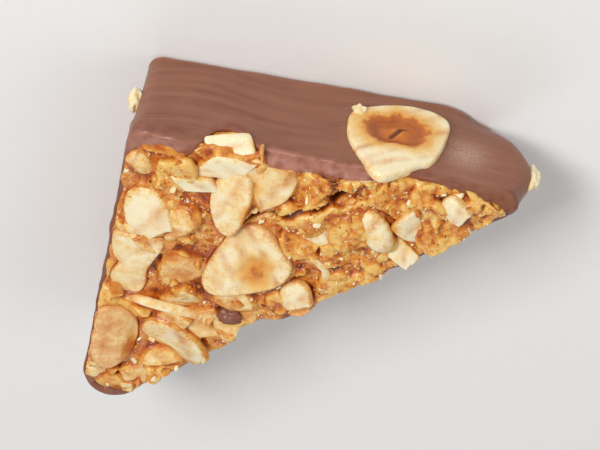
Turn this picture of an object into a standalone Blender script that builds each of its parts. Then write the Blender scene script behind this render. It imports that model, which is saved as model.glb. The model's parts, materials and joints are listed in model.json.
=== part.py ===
"""A triangular hazelnut biscuit, in metres, +Z up, standing on its chocolate base.

The biscuit is half a square, cut from corner to corner. Milk chocolate covers its
underside and its three walls and ends above in a thin, uneven rim. A baked layer of sliced
and chopped hazelnuts in caramel fills the rim and stands a little above it. The largest
hazelnut slices are pieces of their own: one on the front wall, the others on the top.

The front wall faces -Y and the side wall +X, with the right angle between them. The long
cut wall runs from the left tip to the back tip. A place on the biscuit is given from the
right angle: `along` the front wall towards the left tip, `back` towards the back tip.
"""

import math
import random

import bmesh
import bpy
from mathutils import Euler, Matrix, Vector, noise

MM = 0.001

# The triangle at its rim, between the corners that its walls would have if sharp
RIGHT_CORNER = Vector((24.6 * MM, -24.3 * MM))  # puts the middle of the whole on the origin
FRONT_LEG = 53.0 * MM
SIDE_LEG = 56.0 * MM
SIDE_LEAN = 3.0 * MM  # the side wall swings out this far over its length
RIGHT_RADIUS = 2.6 * MM
LEFT_RADIUS = 2.4 * MM
BACK_RADIUS = 4.3 * MM
RIGHT_STEPS = 4
TIP_STEPS = 6
WALL_STEP = 2.3 * MM

# A bite broken out of the long cut wall
BAY_PLACE = 46.8 * MM  # from the left tip
BAY_DEPTH = 2.5 * MM
BAY_HALF_WIDTH = 3.0 * MM
BAY_REACH = 5.0 * MM

# The chocolate
RIM_HEIGHT = 15.2 * MM
RIM_WAVE = 0.7 * MM
WAVE_LENGTH = 9.0 * MM
RIPPLE = (0.6, 2.3)  # smaller waves on the rim: their share of the height, how much finer
RIM_WALL = 1.1 * MM
RIM_ROUND = 0.3 * MM
BASE_INSET = 0.6 * MM  # the walls lean in by this from the rim down to the base
BASE_ROUND = 1.1 * MM
BASE_STEPS = 3
TIP_FROM = 40.0 * MM  # the left tip leans out like a bow: how far along that begins
TIP_LENGTH = 9.5 * MM
TIP_CUT = 3.8 * MM  # its base is cut back by this
TIP_BULGE = 1.9 * MM  # and it swells out by this, higher up
TIP_BULGE_HEIGHT = 9.8 * MM
TIP_SOFTNESS = 3.6 * MM
TIP_NARROW = 2.8 * MM  # its base is cut back from the front wall too
TIP_NARROW_FROM = 38.0 * MM
TIP_NARROW_LENGTH = 10.0 * MM
WALL_ROWS = 5
WALL_SWELL = 0.15 * MM
RECESS_FLOOR = 9.6 * MM
DIP_PLACE = 12.6 * MM  # along the front wall, where nuts break through the rim
DIP_DEPTH = 2.8 * MM
DIP_HALF_WIDTH = 3.0 * MM

# The nut layer
GAP = 0.3 * MM  # between pieces that touch
CLEAR = 0.05 * MM  # keeps the layer's own walls off the faces of its cutter
LAYER_LEVEL = 15.0 * MM
LAYER_DOME = 0.9 * MM
DOME_WIDTH = 9.0 * MM
LUMP_HEIGHT = 0.6 * MM
LUMP_LENGTH = 5.0 * MM
RELIEF_STEP = 2.4 * MM

# What is fused to the layer: shards of nut, then nuts along the edge, then nibs between.
# Sizes and lifts over the layer are in mm here, and each pair is the least and the most.
SHARD_SPACING = 5.2
SHARD_MARGIN = 1.6  # from the walls
SHARD_LENGTH = (4.6, 8.0)
SHARD_WIDTH = (0.5, 0.85)  # as a share of the length
SHARD_THICKNESS = 1.2
SHARD_SIDES = 6
SHARD_TAPER = 0.92
SHARD_UNEVEN = (0.82, 1.12)
SHARD_LEAN = 10.0  # degrees
SHARD_LIFT = (0.1, 0.5)
EDGE_INSET = (1.0, 2.4)
EDGE_SIZE = (2.2, 5.0)
EDGE_WIDTH = (0.6, 0.8)
EDGE_LEAN = 12.0
EDGE_LIFT = (0.4, 0.9)
EDGE_SHARE = 0.8  # of the outline's points that carry a nut
NIB_SPACING = 4.6
NIB_MARGIN = 2.4
NIB_SIZE = (1.6, 3.0)
NIB_WIDTH = (0.6, 0.9)
NIB_HEIGHT = 0.65
NIB_LIFT = (0.3, 0.9)
ROW_PITCH = math.sqrt(3.0) / 2  # of a staggered grid, as a share of its spacing
JITTER = 0.25  # how far a point of the grid may move, as a share of its spacing
# Where chocolate laps the nuts, so that none is fused on: along, back, radius
BARE_SPOTS = ((3.5, 0.6, 4.2), (-1.9, 52.3, 3.2))
PLACE_SEED = 41
SHAPE_SEED = 7

# Whole hazelnut slices
SLICE_SIDES = 18
SLICE_THICKNESS = 1.4 * MM
SLICE_ROUND = 0.3 * MM
EGG = 0.1  # a slice is narrower by this share towards its point
CAVITY_RIM = 0.5  # the nut's hollow begins this share of the way in
CAVITY_DEPTH = 0.4 * MM
POCKET_OPENING = 4.0 * MM  # a pocket's cutter stands this far above its slice

# Each top slice: name, along, back, length, width, lobe, turn, tilt, roll, lift. Lengths are
# in mm and angles in degrees. The lobe is how far the slice is from round to three-cornered.
TOP_SLICES = (
    ("hazelnut_slice_middle", 17.6, 19.4, 12.6, 12.4, 0.06, 100, 4, -5, 0.5),
    ("hazelnut_slice_upright", 14.1, 8.9, 9.6, 5.8, 0.03, -3, 6, 18, 0.6),
    ("hazelnut_slice_side", 3.1, 22.8, 11.0, 7.4, 0.05, 2, -5, 6, 0.5),
    ("hazelnut_slice_back", 2.2, 38.6, 11.0, 6.6, 0.02, -4, 5, -16, 0.8),
)
# The slice on the front wall: along, height of its middle, length, width, lobe, turn, proud
FRONT_SLICE = (33.3, 9.8, 14.2, 13.2, 0.07, -10, 1.0)
# Bits of nut stuck to the walls: along, back, height, width, length, height of the bit
WALL_BITS = (
    (-0.3, 2.8, 7.2, 1.8, 3.2, 3.0),
    (51.3, 2.2, 9.6, 1.8, 1.7, 4.0),
)

# Large shards that are fused: along, back, length, width, turn, tilt, roll, lift
LARGE_SHARDS = (
    (12.8, 0.6, 3.8, 7.0, 4, 52, 0, -0.3),
    (12.2, 2.9, 8.8, 4.2, 102, 4, 6, 0.7),
    (9.2, 6.5, 6.4, 2.6, 84, -6, 6, 0.5),
    (19.0, 4.0, 8.2, 6.0, 20, 6, -8, 0.4),
    (3.4, 13.5, 8.8, 6.4, 24, 8, 8, 0.5),
    (6.2, 30.2, 12.0, 3.4, 86, 3, 50, 0.2),
    (9.6, 36.1, 10.0, 5.6, 66, 6, 18, 0.5),
    (11.6, 38.0, 8.0, 4.0, 60, 8, 24, 0.7),
    (32.8, 9.5, 7.0, 4.2, 30, 8, 14, 0.4),
    (36.6, 7.9, 6.0, 3.8, 12, -8, -12, 0.5),
    (42.2, 3.6, 4.4, 3.4, 50, 8, 12, 0.4),
    (36.7, 13.2, 5.2, 3.4, 40, 10, -14, 0.4),
    (24.0, 23.9, 5.0, 4.4, 20, 8, 10, 0.4),
    (26.6, 12.8, 5.0, 4.0, 70, 6, 8, 0.3),
)

# Finishes: name, colour, roughness
MILK_CHOCOLATE = ("milk_chocolate", (0.285, 0.125, 0.08, 1.0), 0.38)
BAKED_NUT = ("baked_nut", (0.62, 0.35, 0.13, 1.0), 0.5)
PALE_NUT = ("pale_nut", (0.78, 0.58, 0.32, 1.0), 0.55)


def spot(along, back):
    """A place on the biscuit, from its right angle, as a point seen from above."""
    return RIGHT_CORNER + Vector((-along, back))


def corners():
    """The sharp corners, anticlockwise from above, each with its radius and arc steps."""
    return (
        (spot(0.0, 0.0), RIGHT_RADIUS, RIGHT_STEPS),
        (spot(-SIDE_LEAN, SIDE_LEG), BACK_RADIUS, TIP_STEPS),
        (spot(FRONT_LEG, 0.0), LEFT_RADIUS, TIP_STEPS),
    )


def wall_ways():
    """The direction of each wall, from its corner to the next: side, long cut, front."""
    places = [corner for corner, radius, steps in corners()]
    return [(places[(number + 1) % 3] - places[number]).normalized() for number in range(3)]


def inward(way):
    """The direction into the biscuit, at a wall that runs this way."""
    return Vector((-way.y, way.x))


def bitten(point):
    """The point of the outline, moved inwards where the long cut wall has its bite."""
    way = wall_ways()[1]
    from_tip = corners()[2][0] - point
    if abs(from_tip.dot(inward(way))) > BAY_REACH:
        return point
    off_middle = from_tip.dot(way) - BAY_PLACE
    return point + inward(way) * BAY_DEPTH * math.exp(-((off_middle / BAY_HALF_WIDTH) ** 2))


def outline(inset):
    """The rounded triangle, `inset` inside its walls, with as many points for any inset."""
    ways = wall_ways()
    arcs = []
    for number, (corner, radius, steps) in enumerate(corners()):
        before, after = inward(ways[number - 1]), inward(ways[number])
        centre = corner + (before + after) * radius / (1.0 + before.dot(after))
        start = math.atan2(-before.y, -before.x)
        turn = before.angle(after)
        angles = [start + turn * step / steps for step in range(steps + 1)]
        arcs.append([centre + Vector((math.cos(a), math.sin(a))) * (radius - inset) for a in angles])
    points = []
    for number, arc in enumerate(arcs):
        end = arcs[(number + 1) % 3][0]
        pieces = round((end - arc[-1]).length / WALL_STEP)
        points += arc
        points += [arc[-1].lerp(end, piece / pieces) for piece in range(1, pieces)]
    return [bitten(point) for point in points]


def inside_by(point):
    """How far a point is inside the nearest wall."""
    places = [corner for corner, radius, steps in corners()]
    return min((point - place).dot(inward(way)) for place, way in zip(places, wall_ways()))


def rim_height(point):
    """The height of the chocolate's uneven rim, with its dip in the front wall."""
    place = Vector((point.x, point.y, 0.0)) / WAVE_LENGTH
    share, finer = RIPPLE
    wave = RIM_WAVE * (noise.noise(place) + share * noise.noise(place * finer))
    from_dip = (point - spot(DIP_PLACE, 0.0)).length / DIP_HALF_WIDTH
    return RIM_HEIGHT + wave - DIP_DEPTH * math.exp(-(from_dip**4))


def eased(value):
    """0 below 0, 1 above 1, and an even rise between."""
    share = min(max(value, 0.0), 1.0)
    return share * share * (3.0 - 2.0 * share)


def bowed(point, height):
    """The point of a wall, moved where the left tip leans out over its base."""
    way = wall_ways()[2]
    along, back = RIGHT_CORNER.x - point.x, point.y - RIGHT_CORNER.y
    low = math.exp(-((height / TIP_SOFTNESS) ** 2))
    bulge = TIP_BULGE * math.exp(-(((height - TIP_BULGE_HEIGHT) / TIP_SOFTNESS) ** 2))
    lean = (TIP_CUT * low - bulge) * eased((along - TIP_FROM) / TIP_LENGTH)
    off_long_cut = max(1.0 - back / (FRONT_LEG - along), 0.0)  # 0 at the long cut wall
    narrow = TIP_NARROW * low * off_long_cut * eased((along - TIP_NARROW_FROM) / TIP_NARROW_LENGTH)
    return point + way * lean + inward(way) * narrow


def layer_height(point):
    """The height of the nut layer's lumpy surface."""
    place = Vector((point.x, point.y, 3.0 * LUMP_LENGTH)) / LUMP_LENGTH
    rise = min(max(inside_by(point) / DOME_WIDTH, 0.0), 1.0)
    return LAYER_LEVEL + LAYER_DOME * rise * (2.0 - rise) + LUMP_HEIGHT * noise.noise(place)


def risen(rings):
    """A closed solid through the rings, lowest first: one face, drawn up from ring to ring."""
    solid = bmesh.new()
    base = solid.faces.new([solid.verts.new(point) for point in rings[0]])
    cap = base
    for ring in rings[1:]:
        drawn = bmesh.ops.extrude_face_region(solid, geom=[cap], use_keep_orig=True)["geom"]
        if cap is not base:
            solid.faces.remove(cap)
        cap = next(item for item in drawn if isinstance(item, bmesh.types.BMFace))
        for vert, point in zip(cap.verts, ring):
            vert.co = point
    bmesh.ops.recalc_face_normals(solid, faces=solid.faces)
    return solid


def coat_solid(grow=0.0):
    """The chocolate with its recess, or with `grow` the room that it needs about it."""
    rings = []
    for step in range(BASE_STEPS + 1):
        angle = math.pi / 2 * step / BASE_STEPS
        inset = BASE_INSET + BASE_ROUND * (1.0 - math.sin(angle)) - grow
        height = BASE_ROUND * (1.0 - math.cos(angle)) - grow
        rings.append([Vector((*bowed(point, height), height)) for point in outline(inset)])
    for row in range(1, WALL_ROWS + 1):
        share = row / WALL_ROWS
        ring = []
        for point in outline(BASE_INSET * (1.0 - share) - grow):
            height = (rim_height(point) + grow - RIM_ROUND) * share + BASE_ROUND * (1.0 - share)
            place = Vector((*bowed(point, height), height))
            swell = WALL_SWELL * noise.noise(place / WAVE_LENGTH)
            ring.append(place + Vector((place.x, place.y, 0.0)).normalized() * swell)
        rings.append(ring)
    for inset in (RIM_ROUND - grow, RIM_WALL - RIM_ROUND + grow):
        rings.append([Vector((p.x, p.y, rim_height(p) + grow)) for p in outline(inset)])
    inner = outline(RIM_WALL + grow)
    rings.append([Vector((p.x, p.y, rim_height(p) + grow - RIM_ROUND)) for p in inner])
    rings.append([Vector((p.x, p.y, RECESS_FLOOR + grow)) for p in inner])
    return risen(rings)


def layer_solid():
    """The nut layer without its shards: a slab with a lumpy top."""
    sides = outline(RIM_WALL + GAP + CLEAR)
    floor = RECESS_FLOOR + GAP + CLEAR
    solid = risen([[Vector((p.x, p.y, z)) for p in sides] for z in (floor, LAYER_LEVEL)])
    lines = round(FRONT_LEG / RELIEF_STEP / 2)
    for axis in (Vector((1.0, 0.0, 0.0)), Vector((0.0, 1.0, 0.0))):
        for line in range(-lines, lines):
            top = [face for face in solid.faces if face.normal.z > 0.5]
            edges = {edge for face in top for edge in face.edges}
            verts = {vert for face in top for vert in face.verts}
            geometry = [*top, *edges, *verts]
            place = axis * (line + 0.5) * RELIEF_STEP
            bmesh.ops.bisect_plane(solid, geom=geometry, plane_co=place, plane_no=axis, dist=CLEAR)
    bmesh.ops.triangulate(solid, faces=solid.faces)
    for vert in solid.verts:
        if vert.co.z > floor + GAP:
            vert.co.z = layer_height(vert.co.xy)
    return solid


def slice_solid(length, width, lobe, grow=0.0, opening=0.0):
    """A hazelnut slice lying flat: an egg-shaped or three-cornered disc with a hollow."""

    def ring(inset, height):
        points = []
        for step in range(SLICE_SIDES):
            angle = 2.0 * math.pi * step / SLICE_SIDES
            bulge = 1.0 + lobe * math.cos(3.0 * angle)
            x = (width / 2 + grow - inset) * math.sin(angle) * (bulge - EGG * math.cos(angle))
            y = (length / 2 + grow - inset) * math.cos(angle) * bulge
            points.append(Vector((-x, y, height)))
        return points

    half = SLICE_THICKNESS / 2
    rings = [ring(SLICE_ROUND, -half - grow), ring(0.0, SLICE_ROUND - half - grow)]
    if opening:
        rings.append(ring(0.0, half + opening))
        return risen(rings)
    hollow = width / 2 * CAVITY_RIM
    rings += [ring(0.0, half - SLICE_ROUND), ring(SLICE_ROUND, half), ring(hollow, half)]
    rings.append(ring(hollow + CAVITY_DEPTH, half - CAVITY_DEPTH))
    return risen(rings)


def lying(along, back, turn, tilt, roll, lift):
    """Where a flat piece lies on the layer, and how it is turned and leans (mm, degrees)."""
    place = spot(along * MM, back * MM)
    height = layer_height(place) + lift * MM
    turned = Euler([math.radians(angle) for angle in (tilt, roll, turn)]).to_matrix().to_4x4()
    return Matrix.Translation((place.x, place.y, height)) @ turned


def against_front(along, height, turn):
    """Where a flat piece lies against the front wall, its face to the front."""
    lean = math.atan2(BASE_INSET, RIM_HEIGHT)
    inset = BASE_INSET * (1.0 - height * MM / RIM_HEIGHT)
    place = spot(along * MM, inset)
    turned = Matrix.Rotation(math.pi / 2 + lean, 4, "X") @ Matrix.Rotation(math.radians(turn), 4, "Z")
    return Matrix.Translation((place.x, place.y, height * MM)) @ turned


def material(name, colour, roughness):
    """A finish of one colour and roughness."""
    made = bpy.data.materials.new(name)
    made.use_nodes = True
    shader = made.node_tree.nodes["Principled BSDF"]
    shader.inputs["Base Color"].default_value = colour
    shader.inputs["Roughness"].default_value = roughness
    made.diffuse_color = colour
    return made


def collection(name):
    """A new collection in the scene."""
    made = bpy.data.collections.new(name)
    bpy.context.scene.collection.children.link(made)
    return made


def placed(solid, name, group, finish=None, matrix=None):
    """The solid as an object of the group, its place in its mesh."""
    if matrix is not None:
        solid.transform(matrix)
    mesh = bpy.data.meshes.new(name)
    solid.to_mesh(mesh)
    solid.free()
    if finish is not None:
        mesh.materials.append(finish)
    made = bpy.data.objects.new(name, mesh)
    group.objects.link(made)
    return made


def cutter(solid, name, group, matrix=None):
    """The solid as a shape that only cuts others."""
    made = placed(solid, name, group, matrix=matrix)
    made.hide_render = True
    made.display_type = "WIRE"
    return made


def boolean(piece, name, operation, group=None, other=None):
    """Joins to the piece, or cuts from it, one other object or all of a collection."""
    made = piece.modifiers.new(name, "BOOLEAN")
    made.operation = operation
    made.solver = "EXACT"
    if group is not None:
        made.operand_type = "COLLECTION"
        made.collection = group
    else:
        made.object = other


def apply_modifiers(piece):
    """Swaps the piece's mesh for what its modifiers make of it."""
    seen = piece.evaluated_get(bpy.context.evaluated_depsgraph_get())
    made = bpy.data.meshes.new_from_object(seen)
    piece.modifiers.clear()
    old, piece.data = piece.data, made
    bpy.data.meshes.remove(old)
    made.name = piece.name


def clear_out(group):
    """Removes a collection and what is in it, once that is joined to its piece."""
    for item in list(group.objects):
        bpy.data.objects.remove(item)
    bpy.data.collections.remove(group)


def keep_largest(piece):
    """Drops loose scraps and sealed hollows: only the largest connected shell stays.

    Shells that touch along one edge, where four faces meet, count as apart.
    """
    solid = bmesh.new()
    solid.from_mesh(piece.data)
    bmesh.ops.triangulate(solid, faces=solid.faces)
    left = set(solid.faces)
    shells = []
    while left:
        shell, ahead = [], [left.pop()]
        while ahead:
            face = ahead.pop()
            shell.append(face)
            joins = [edge for edge in face.edges if len(edge.link_faces) == 2]
            near = {other for edge in joins for other in edge.link_faces} & left
            ahead += near
            left -= near
        shells.append(shell)
    shells.sort(key=len)
    scraps = [face for shell in shells[:-1] for face in shell]
    bmesh.ops.delete(solid, geom=scraps, context="FACES")
    solid.to_mesh(piece.data)
    solid.free()


def scattered(spacing, margin, draw):
    """Places spread evenly over the top: a staggered grid, each point moved a little."""
    places = []
    rows = int(SIDE_LEG / MM / (spacing * ROW_PITCH)) + 2
    columns = int(FRONT_LEG / MM / spacing) + 2
    for row in range(rows):
        for column in range(-1, columns):
            along = spacing * (column + 0.5 * (row % 2) + draw.uniform(-JITTER, JITTER))
            back = spacing * (row * ROW_PITCH + draw.uniform(-JITTER, JITTER))
            if inside_by(spot(along * MM, back * MM)) > margin * MM:
                places.append((along, back))
    return places


def is_free(along, back, kept):
    """Whether a place is off the large pieces, each one along, back and a radius."""
    return all(math.hypot(along - x, back - y) > radius for x, y, radius in kept)


def shard_places(kept, draw):
    """The rows of the large shards, then one for each of those spread between them."""
    places = list(LARGE_SHARDS)
    kept += [(row[0], row[1], (row[2] + row[3]) / 5) for row in LARGE_SHARDS]
    for along, back in scattered(SHARD_SPACING, SHARD_MARGIN, draw):
        length = draw.uniform(*SHARD_LENGTH)
        width = length * draw.uniform(*SHARD_WIDTH)
        pose = (draw.uniform(0.0, 360.0), draw.gauss(0.0, SHARD_LEAN), draw.gauss(0.0, SHARD_LEAN))
        row = (along, back, length, width, *pose, draw.uniform(*SHARD_LIFT))
        if is_free(along, back, kept):
            places.append(row)
    return places


def edge_places(kept, draw):
    """A row for each nut along the edge: these hide most of the rim."""
    places = []
    for point, inner in zip(outline(0.0), outline(MM)):
        place = point.lerp(inner, draw.uniform(*EDGE_INSET)) - RIGHT_CORNER
        along, back = -place.x / MM, place.y / MM
        length = draw.uniform(*EDGE_SIZE)
        width = length * draw.uniform(*EDGE_WIDTH)
        leans = (draw.uniform(-EDGE_LEAN, EDGE_LEAN), draw.uniform(-EDGE_LEAN, EDGE_LEAN))
        pose = (draw.uniform(0.0, 360.0), *leans, draw.uniform(*EDGE_LIFT))
        if draw.random() < EDGE_SHARE and is_free(along, back, kept):
            places.append((along, back, length, width, *pose))
    return places


def nib_places(kept, draw):
    """A row for each chopped bit between and on the shards."""
    places = []
    for along, back in scattered(NIB_SPACING, NIB_MARGIN, draw):
        length = draw.uniform(*NIB_SIZE)
        width = length * draw.uniform(*NIB_WIDTH)
        turns = [draw.uniform(0.0, 360.0) for axis in range(3)]
        row = (along, back, length, width, *turns, draw.uniform(*NIB_LIFT))
        if is_free(along, back, kept):
            places.append(row)
    return places


def shard_solid(length, width, draw):
    """A broken slice: a thin prism with a few uneven sides."""
    solid = bmesh.new()
    size = Matrix.Diagonal((width * MM, length * MM, SHARD_THICKNESS * MM, 1.0))
    ends = {"radius1": 0.5, "radius2": 0.5 * SHARD_TAPER, "depth": 1.0}
    bmesh.ops.create_cone(solid, cap_ends=True, segments=SHARD_SIDES, matrix=size, **ends)
    for vert in solid.verts:
        vert.co.x *= draw.uniform(*SHARD_UNEVEN)
        vert.co.y *= draw.uniform(*SHARD_UNEVEN)
    bmesh.ops.triangulate(solid, faces=solid.faces)
    return solid


def nib_solid(length, width):
    """A chopped bit: a squat, many-sided lump."""
    solid = bmesh.new()
    size = Matrix.Diagonal((width * MM, length * MM, length * NIB_HEIGHT * MM, 1.0))
    bmesh.ops.create_icosphere(solid, subdivisions=1, radius=0.5, matrix=size)
    return solid


def bit_solid(along, back, height, width, length, tall):
    """A bit of nut on a wall: a squashed lump at its own place."""
    solid = bmesh.new()
    place = spot(along * MM, back * MM)
    matrix = Matrix.Translation((place.x, place.y, height * MM))
    size = Matrix.Diagonal((width * MM, length * MM, tall * MM, 1.0))
    bmesh.ops.create_icosphere(solid, subdivisions=2, radius=0.5, matrix=matrix @ size)
    return solid


def add_nuts(group):
    """Everything that is fused to the layer, as objects of the group."""
    draw, shape = random.Random(PLACE_SEED), random.Random(SHAPE_SEED)
    kept = [(row[1], row[2], (row[3] + row[4]) / 4) for row in TOP_SLICES]
    kept += BARE_SPOTS
    shards, edge, nibs = (rule(kept, draw) for rule in (shard_places, edge_places, nib_places))
    for number, (along, back, length, width, *pose) in enumerate(shards + edge[::2]):
        solid = shard_solid(length, width, shape)
        placed(solid, f"shard_{number}", group, matrix=lying(along, back, *pose))
    for number, (along, back, length, width, *pose) in enumerate(edge[1::2] + nibs):
        solid = nib_solid(length, width)
        placed(solid, f"nib_{number}", group, matrix=lying(along, back, *pose))


def build_front_slice(parts, finish, cutters):
    """The slice on the front wall, and the cutter of its pocket."""
    along, height, length, width, lobe, turn, proud = FRONT_SLICE
    size = (length * MM, width * MM, lobe)
    stand = Matrix.Translation((0.0, 0.0, proud * MM - SLICE_THICKNESS / 2))
    matrix = against_front(along, height, turn) @ stand
    placed(slice_solid(*size), "hazelnut_slice_front", parts, finish, matrix)
    return cutter(slice_solid(*size, GAP, POCKET_OPENING), "front_pocket", cutters, matrix)


def build_coat(parts, finish, pocket):
    """The chocolate, with the bits of nut on its walls and the front slice's pocket."""
    coat = placed(coat_solid(), "chocolate_coat", parts, finish)
    bits = collection("wall_bits")
    for number, bit in enumerate(WALL_BITS):
        placed(bit_solid(*bit), f"wall_bit_{number}", bits)
    boolean(coat, "bits of nut on the walls", "UNION", group=bits)
    apply_modifiers(coat)
    clear_out(bits)
    boolean(coat, "pocket for the front slice", "DIFFERENCE", other=pocket)


def build_top_slices(parts, finish, cutters, coat_room):
    """The slices on the top, cut where they meet the rim, and the cutters of their pockets."""
    for name, along, back, length, width, lobe, *pose in TOP_SLICES:
        size = (length * MM, width * MM, lobe)
        matrix = lying(along, back, *pose)
        piece = placed(slice_solid(*size), name, parts, finish, matrix)
        boolean(piece, "room for the rim", "DIFFERENCE", other=coat_room)
        cutter(slice_solid(*size, GAP, POCKET_OPENING), name + "_pocket", cutters, matrix)


def build_layer(parts, finish, cutters):
    """The nut layer with its shards and nibs fused on, cut clear of all its neighbours."""
    layer = placed(layer_solid(), "nut_layer", parts, finish)
    nuts = collection("nuts")
    add_nuts(nuts)
    boolean(layer, "shards and nibs", "UNION", group=nuts)
    apply_modifiers(layer)
    clear_out(nuts)
    boolean(layer, "room for the coat and slices", "DIFFERENCE", group=cutters)
    apply_modifiers(layer)
    keep_largest(layer)


def build():
    """Makes the whole biscuit."""
    for old in list(bpy.data.objects):
        bpy.data.objects.remove(old)
    parts = collection("hazelnut_biscuit")
    cutters = collection("cutters")
    chocolate = material(*MILK_CHOCOLATE)
    baked = material(*BAKED_NUT)
    pale = material(*PALE_NUT)

    pocket = build_front_slice(parts, pale, cutters)
    build_coat(parts, chocolate, pocket)
    coat_room = cutter(coat_solid(GAP), "coat_room", cutters)
    build_top_slices(parts, pale, cutters, coat_room)
    build_layer(parts, baked, cutters)


build()
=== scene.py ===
# %% [markdown]
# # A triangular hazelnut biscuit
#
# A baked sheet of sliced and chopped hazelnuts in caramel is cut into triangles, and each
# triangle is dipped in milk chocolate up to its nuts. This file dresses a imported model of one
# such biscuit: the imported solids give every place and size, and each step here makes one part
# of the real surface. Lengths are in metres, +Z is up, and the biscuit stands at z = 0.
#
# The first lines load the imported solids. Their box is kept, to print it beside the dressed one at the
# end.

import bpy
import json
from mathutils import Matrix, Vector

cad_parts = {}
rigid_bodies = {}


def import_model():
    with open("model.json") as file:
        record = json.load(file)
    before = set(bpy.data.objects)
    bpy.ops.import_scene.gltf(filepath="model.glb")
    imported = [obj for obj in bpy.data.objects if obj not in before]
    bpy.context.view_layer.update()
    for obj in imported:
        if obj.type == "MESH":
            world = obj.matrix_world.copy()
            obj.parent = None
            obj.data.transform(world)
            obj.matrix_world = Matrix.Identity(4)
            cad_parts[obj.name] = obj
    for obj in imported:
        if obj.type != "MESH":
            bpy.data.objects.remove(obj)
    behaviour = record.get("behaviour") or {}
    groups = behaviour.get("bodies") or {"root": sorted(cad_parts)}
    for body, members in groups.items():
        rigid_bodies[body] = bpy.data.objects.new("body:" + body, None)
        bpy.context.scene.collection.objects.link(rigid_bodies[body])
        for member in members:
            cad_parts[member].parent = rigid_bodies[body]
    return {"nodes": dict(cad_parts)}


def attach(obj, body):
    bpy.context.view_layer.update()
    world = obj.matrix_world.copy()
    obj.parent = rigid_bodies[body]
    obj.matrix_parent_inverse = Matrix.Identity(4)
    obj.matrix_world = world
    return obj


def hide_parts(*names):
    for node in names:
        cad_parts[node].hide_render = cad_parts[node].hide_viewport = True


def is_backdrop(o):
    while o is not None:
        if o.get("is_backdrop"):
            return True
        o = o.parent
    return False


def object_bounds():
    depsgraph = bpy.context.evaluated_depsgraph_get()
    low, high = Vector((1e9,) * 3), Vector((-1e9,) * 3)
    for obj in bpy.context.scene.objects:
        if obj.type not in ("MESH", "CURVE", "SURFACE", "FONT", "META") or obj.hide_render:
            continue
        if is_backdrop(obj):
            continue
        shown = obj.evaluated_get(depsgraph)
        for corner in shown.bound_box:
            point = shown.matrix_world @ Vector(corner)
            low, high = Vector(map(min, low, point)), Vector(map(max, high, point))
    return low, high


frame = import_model()
packed_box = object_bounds()
print("packed solids:", ", ".join(sorted(frame["nodes"])))

# %% Modules and units
import json
import math
import random

import bmesh
import bpy
import numpy as np
from mathutils import Euler, Matrix, Vector, noise
from mathutils.bvhtree import BVHTree

MM = 0.001

# %% [markdown]
# ## The triangle
#
# The outline is a right triangle with rounded corners and one small bite out of its long cut
# wall. It could be traced point by point. A rule is better: three corners with their radii
# give the same line at any inset and at any fineness, so the chocolate, its rim and the nuts
# along the edge all follow each other. A place is given from the right angle: `along` the
# front wall towards the left tip, and `back` towards the back tip.

# %% Sizes of the triangle
RIGHT_CORNER = Vector((24.6 * MM, -24.3 * MM))  # puts the middle of the whole on the origin
FRONT_LEG = 53.0 * MM
SIDE_LEG = 56.0 * MM
SIDE_LEAN = 3.0 * MM  # the side wall swings out this far over its length
CORNER_RADII = (2.6 * MM, 4.3 * MM, 2.4 * MM)  # right angle, back tip, left tip
CORNER_STEPS = (4, 6, 6)
WALL_STEP = 2.3 * MM  # between the points of a wall
LONG_CUT = 1  # the number of the wall that has the bite, after the side wall
BAY_PLACE = 46.8 * MM  # the middle of the bite, from the left tip
BAY_DEPTH = 2.5 * MM
BAY_HALF_WIDTH = 3.0 * MM
BAY_REACH = 5.0 * MM  # points further from that wall stay where they are


# %% The outline by rule
def spot(along, back):
    """A place on the biscuit, from its right angle, as a point seen from above."""
    return RIGHT_CORNER + Vector((-along, back))


def from_corner(place):
    """How far a place is along the front wall and back from it, from the right angle."""
    return RIGHT_CORNER.x - place.x, place.y - RIGHT_CORNER.y


CORNERS = (spot(0.0, 0.0), spot(-SIDE_LEAN, SIDE_LEG), spot(FRONT_LEG, 0.0))
WAYS = [(CORNERS[(number + 1) % 3] - CORNERS[number]).normalized() for number in range(3)]


def inward(way):
    """The direction into the biscuit, at a wall that runs this way."""
    return Vector((-way.y, way.x))


def bump(off, width, power=2):
    """1 in the middle of a bump and 0 far off: a bell curve, with a flatter top for power 4."""
    return math.exp(-((off / width) ** power))


def bitten(point):
    """The point of the outline, moved inwards where the long cut wall has its bite."""
    from_tip, way = CORNERS[2] - point, WAYS[LONG_CUT]
    if abs(from_tip.dot(inward(way))) > BAY_REACH:
        return point
    bite = BAY_DEPTH * bump(from_tip.dot(way) - BAY_PLACE, BAY_HALF_WIDTH)
    return point + inward(way) * bite


def round_of(number):
    """The middle of a corner's round, and the ways into the biscuit at its two walls."""
    before, after = inward(WAYS[number - 1]), inward(WAYS[number])
    middle = CORNERS[number] + (before + after) * CORNER_RADII[number] / (1.0 + before.dot(after))
    return middle, before, after


def outline(inset, finer=1):
    """The rounded triangle, `inset` inside its walls, with as many points for any inset."""
    arcs = []
    for number in range(3):
        centre, before, after = round_of(number)
        start, turn = math.atan2(-before.y, -before.x), before.angle(after)
        steps = CORNER_STEPS[number] * finer
        angles = [start + turn * step / steps for step in range(steps + 1)]
        radius = CORNER_RADII[number] - inset
        arcs.append([centre + Vector((math.cos(a), math.sin(a))) * radius for a in angles])
    points = []
    for number, arc in enumerate(arcs):
        end = arcs[(number + 1) % 3][0]
        pieces = round((end - arc[-1]).length / WALL_STEP) * finer
        points += arc
        points += [arc[-1].lerp(end, piece / pieces) for piece in range(1, pieces)]
    return [bitten(point) for point in points]


def inside_by(point):
    """How far a point is inside the nearest wall."""
    return min((point - corner).dot(inward(way)) for corner, way in zip(CORNERS, WAYS))


NOT_ZERO = 1e-9  # a length that is safe to divide by


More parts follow.
